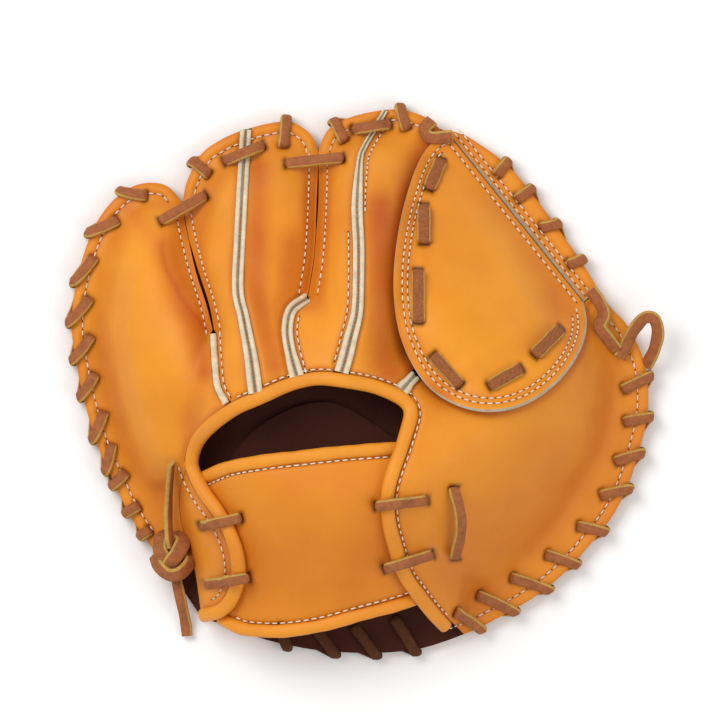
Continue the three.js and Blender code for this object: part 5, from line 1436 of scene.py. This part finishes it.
def stitch_tree():
    """Geometry nodes that set stitches and dark pits, painted shadow of the needle holes, by turns along the
    given lines.
    """
    tree, given, result = node_tree("Stitch row", "GeometryNodeTree", (
        ("Geometry", "NodeSocketGeometry", None), ("Pitch", "NodeSocketFloat", 0.0027),
        ("Stitch length", "NodeSocketFloat", 0.0019), ("Thread", "NodeSocketFloat", 0.0008),
        ("Seed", "NodeSocketInt", 7), ("Material", "NodeSocketMaterial", None),
        ("Hole material", "NodeSocketMaterial", None)), (("Geometry", "NodeSocketGeometry"),))
    curve = add_node(tree, "GeometryNodeMeshToCurve", {"Mesh": given.outputs["Geometry"]})
    half = add_node(tree, "ShaderNodeMath", {0: given.outputs["Pitch"], 1: 0.5}, operation="MULTIPLY")
    points = add_node(tree, "GeometryNodeCurveToPoints", {
        "Curve": curve.outputs[0], "Length": half.outputs[0]}, mode="LENGTH")
    index = add_node(tree, "GeometryNodeInputIndex")
    odd = add_node(tree, "ShaderNodeMath", {0: index.outputs[0], 1: 2.0}, operation="MODULO")
    even = add_node(tree, "ShaderNodeMath", {0: 1.0, 1: odd.outputs[0]}, operation="SUBTRACT")
    turn = add_node(tree, "FunctionNodeAlignRotationToVector", {
        "Vector": points.outputs["Tangent"]}, axis="X")
    size = add_node(tree, "ShaderNodeCombineXYZ", {
        "X": given.outputs["Stitch length"], "Y": given.outputs["Thread"], "Z": given.outputs["Thread"]})
    jitter = add_node(tree, "FunctionNodeRandomValue", {"Seed": given.outputs["Seed"]}, data_type="FLOAT")
    jitter.inputs[2].default_value = 0.9
    jitter.inputs[3].default_value = 1.08
    scale = add_node(tree, "ShaderNodeVectorMath", operation="SCALE")
    tree.links.new(size.outputs[0], scale.inputs[0])
    tree.links.new(jitter.outputs[1], scale.inputs["Scale"])
    bead = add_node(tree, "GeometryNodeMeshUVSphere", {"Segments": 8, "Rings": 6, "Radius": 0.5})
    # Dark pits stand in for the shadow in the needle holes.
    pit_width = add_node(tree, "ShaderNodeMath", {0: given.outputs["Thread"], 1: 0.95}, operation="MULTIPLY")
    pit_depth = add_node(tree, "ShaderNodeMath", {0: given.outputs["Thread"], 1: 0.8}, operation="MULTIPLY")
    pit_size = add_node(tree, "ShaderNodeCombineXYZ", {
        "X": pit_width.outputs[0], "Y": pit_width.outputs[0], "Z": pit_depth.outputs[0]})
    pit = add_node(tree, "GeometryNodeMeshUVSphere", {"Segments": 6, "Rings": 4, "Radius": 0.5})
    join = add_node(tree, "GeometryNodeJoinGeometry")
    for mesh, size_socket, selection, material in (
            (bead, scale.outputs[0], even, "Material"), (pit, pit_size.outputs[0], odd, "Hole material")):
        set_on = add_node(tree, "GeometryNodeInstanceOnPoints", {
            "Points": points.outputs["Points"], "Selection": selection.outputs[0],
            "Instance": mesh.outputs["Mesh"], "Rotation": turn.outputs[0], "Scale": size_socket})
        real = add_node(tree, "GeometryNodeRealizeInstances", {"Geometry": set_on.outputs[0]})
        finished = add_node(tree, "GeometryNodeSetMaterial", {
            "Geometry": real.outputs[0], "Material": given.outputs[material]})
        tree.links.new(finished.outputs[0], join.inputs[0])
    tree.links.new(join.outputs[0], result.inputs[0])
    return tree


LINE_STEPS = 200
STITCH_SINK = 0.15 * MM
WELT_STITCH_RISE = 0.75 * MM


class GLOVE_OT_stitches(bpy.types.Operator):
    """Sew the stitch lines with geometry nodes"""
    bl_idname = "glove.stitches"
    bl_label = "Stitches"

    def execute(self, context):
        glove = shape(context)
        sizes = glove.sizes
        tree = stitch_tree()
        sockets = {item.name: item.identifier for item in tree.interface.items_tree if item.in_out == "INPUT"}
        heights = {
            "back": glove.back_top, "web": glove.web_top, "band": glove.back_top, "strap": glove.strap_top,
            "welt": lambda p: glove.back_top(p) + WELT_STITCH_RISE}
        for name, lines in glove.seams.items():
            vertices, edges = [], []
            for line in lines:
                plan = resample(line, LINE_STEPS)
                start = len(vertices)
                height = heights[name](plan) - STITCH_SINK
                vertices += (np.column_stack((plan, height)) + glove.shift).tolist()
                edges += [(start + i, start + i + 1) for i in range(len(plan) - 1)]
            mesh = bpy.data.meshes.new(f"{name}_stitch_lines")
            mesh.from_pydata(vertices, edges, [])
            body = bpy.data.objects.new(f"{name}_stitches", mesh)
            context.scene.collection.objects.link(body)
            rows = body.modifiers.new("Stitch row", "NODES")
            rows.node_group = tree
            for label, value in (("Pitch", sizes.stitch_pitch), ("Stitch length", sizes.stitch_length),
                                 ("Thread", sizes.thread),
                                 ("Material", finish("lace_face" if name == "welt" else "thread")),
                                 ("Hole material", finish("dark_lace"))):
                rows[sockets[label]] = value
            context.view_layer.update()
            sewn = bpy.data.meshes.new_from_object(body.evaluated_get(context.evaluated_depsgraph_get()))
            body.modifiers.clear()
            body.data = sewn
            sewn.polygons.foreach_set("use_smooth", np.ones(len(sewn.polygons), dtype=bool))
            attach(body, "root")
        return {"FINISHED"}


FLOOR_REACH = 3.0
SKY_STRENGTH = 0.64
# Lamps. Columns: name, place, size in metres, power in watts.
LAMPS = (("key", (-0.75, 0.65, 1.5), 0.9, 17.0), ("fill", (1.2, -0.6, 1.4), 1.2, 8.0))
# The camera looks straight down. A pixel of the picture is as long as PIXEL at SCALE_HEIGHT, and the
# picture's middle lies MIDDLE_PIXELS above the middle of the leather body.
CAMERA_HEIGHT = 6.0
SCALE_HEIGHT = 0.02
SENSOR_WIDTH = 36.0
PIXEL = 0.45 * MM
PICTURE_PIXELS = 720
MIDDLE_PIXELS = 21


class GLOVE_OT_stage(bpy.types.Operator):
    """Set the floor, the light and the camera straight above the glove"""
    bl_idname = "glove.stage"
    bl_label = "Stage"

    def execute(self, context):
        glove = shape(context)
        scene = context.scene
        mesh = bpy.data.meshes.new("floor")
        corners = [(x * FLOOR_REACH, y * FLOOR_REACH, 0) for x, y in ((-1, -1), (1, -1), (1, 1), (-1, 1))]
        mesh.from_pydata(corners, [], [(0, 1, 2, 3)])
        mesh.materials.append(finish("floor"))
        floor = bpy.data.objects.new("floor", mesh)
        scene.collection.objects.link(floor)
        world = bpy.data.worlds.new("studio")
        world.use_nodes = True
        world.node_tree.nodes["Background"].inputs["Color"].default_value = (1.0, 1.0, 1.0, 1.0)
        world.node_tree.nodes["Background"].inputs["Strength"].default_value = SKY_STRENGTH
        scene.world = world
        for name, place, size, power in LAMPS:
            lamp = bpy.data.lights.new(name, "AREA")
            lamp.size = size
            lamp.energy = power
            holder = bpy.data.objects.new(name, lamp)
            holder.location = place
            holder.rotation_euler = (-Vector(place)).to_track_quat("-Z", "Y").to_euler()
            scene.collection.objects.link(holder)
        lens = bpy.data.cameras.new("camera")
        lens.sensor_width = SENSOR_WIDTH
        lens.lens = SENSOR_WIDTH * (CAMERA_HEIGHT - SCALE_HEIGHT) / (PICTURE_PIXELS * PIXEL)
        lens.clip_end = 20.0
        camera = bpy.data.objects.new("camera", lens)
        camera.location = (glove.shift[0], glove.shift[1] + MIDDLE_PIXELS * PIXEL, CAMERA_HEIGHT)
        scene.collection.objects.link(camera)
        scene.camera = camera
        scene.view_settings.view_transform = "Standard"
        return {"FINISHED"}


class GLOVE_PT_panel(bpy.types.Panel):
    """Sizes, colours and steps of the glove"""
    bl_idname = "GLOVE_PT_panel"
    bl_label = "Leather glove"
    bl_space_type = "VIEW_3D"
    bl_region_type = "UI"
    bl_category = "Glove"

    def draw(self, context):
        for settings in (context.scene.glove_sizes, context.scene.glove_colours):
            for name in settings.__annotations__:
                self.layout.prop(settings, name)
        for step in STEPS:
            self.layout.operator(step.bl_idname)


STEPS = (GLOVE_OT_materials, GLOVE_OT_palm, GLOVE_OT_back, GLOVE_OT_web, GLOVE_OT_strap, GLOVE_OT_bindings,
         GLOVE_OT_welts, GLOVE_OT_laces, GLOVE_OT_knot, GLOVE_OT_stitches, GLOVE_OT_stage)
CLASSES = (GloveSizes, GloveColours) + STEPS + (GLOVE_PT_panel,)


def register():
    for entry in CLASSES:
        bpy.utils.register_class(entry)
    bpy.types.Scene.glove_sizes = bpy.props.PointerProperty(type=GloveSizes)
    bpy.types.Scene.glove_colours = bpy.props.PointerProperty(type=GloveColours)


def unregister():
    del bpy.types.Scene.glove_sizes
    del bpy.types.Scene.glove_colours
    for entry in reversed(CLASSES):
        bpy.utils.unregister_class(entry)


def main():
    register()
    for step in STEPS:
        group, name = step.bl_idname.split(".")
        getattr(getattr(bpy.ops, group), name)()


if __name__ == "__main__":
    main()
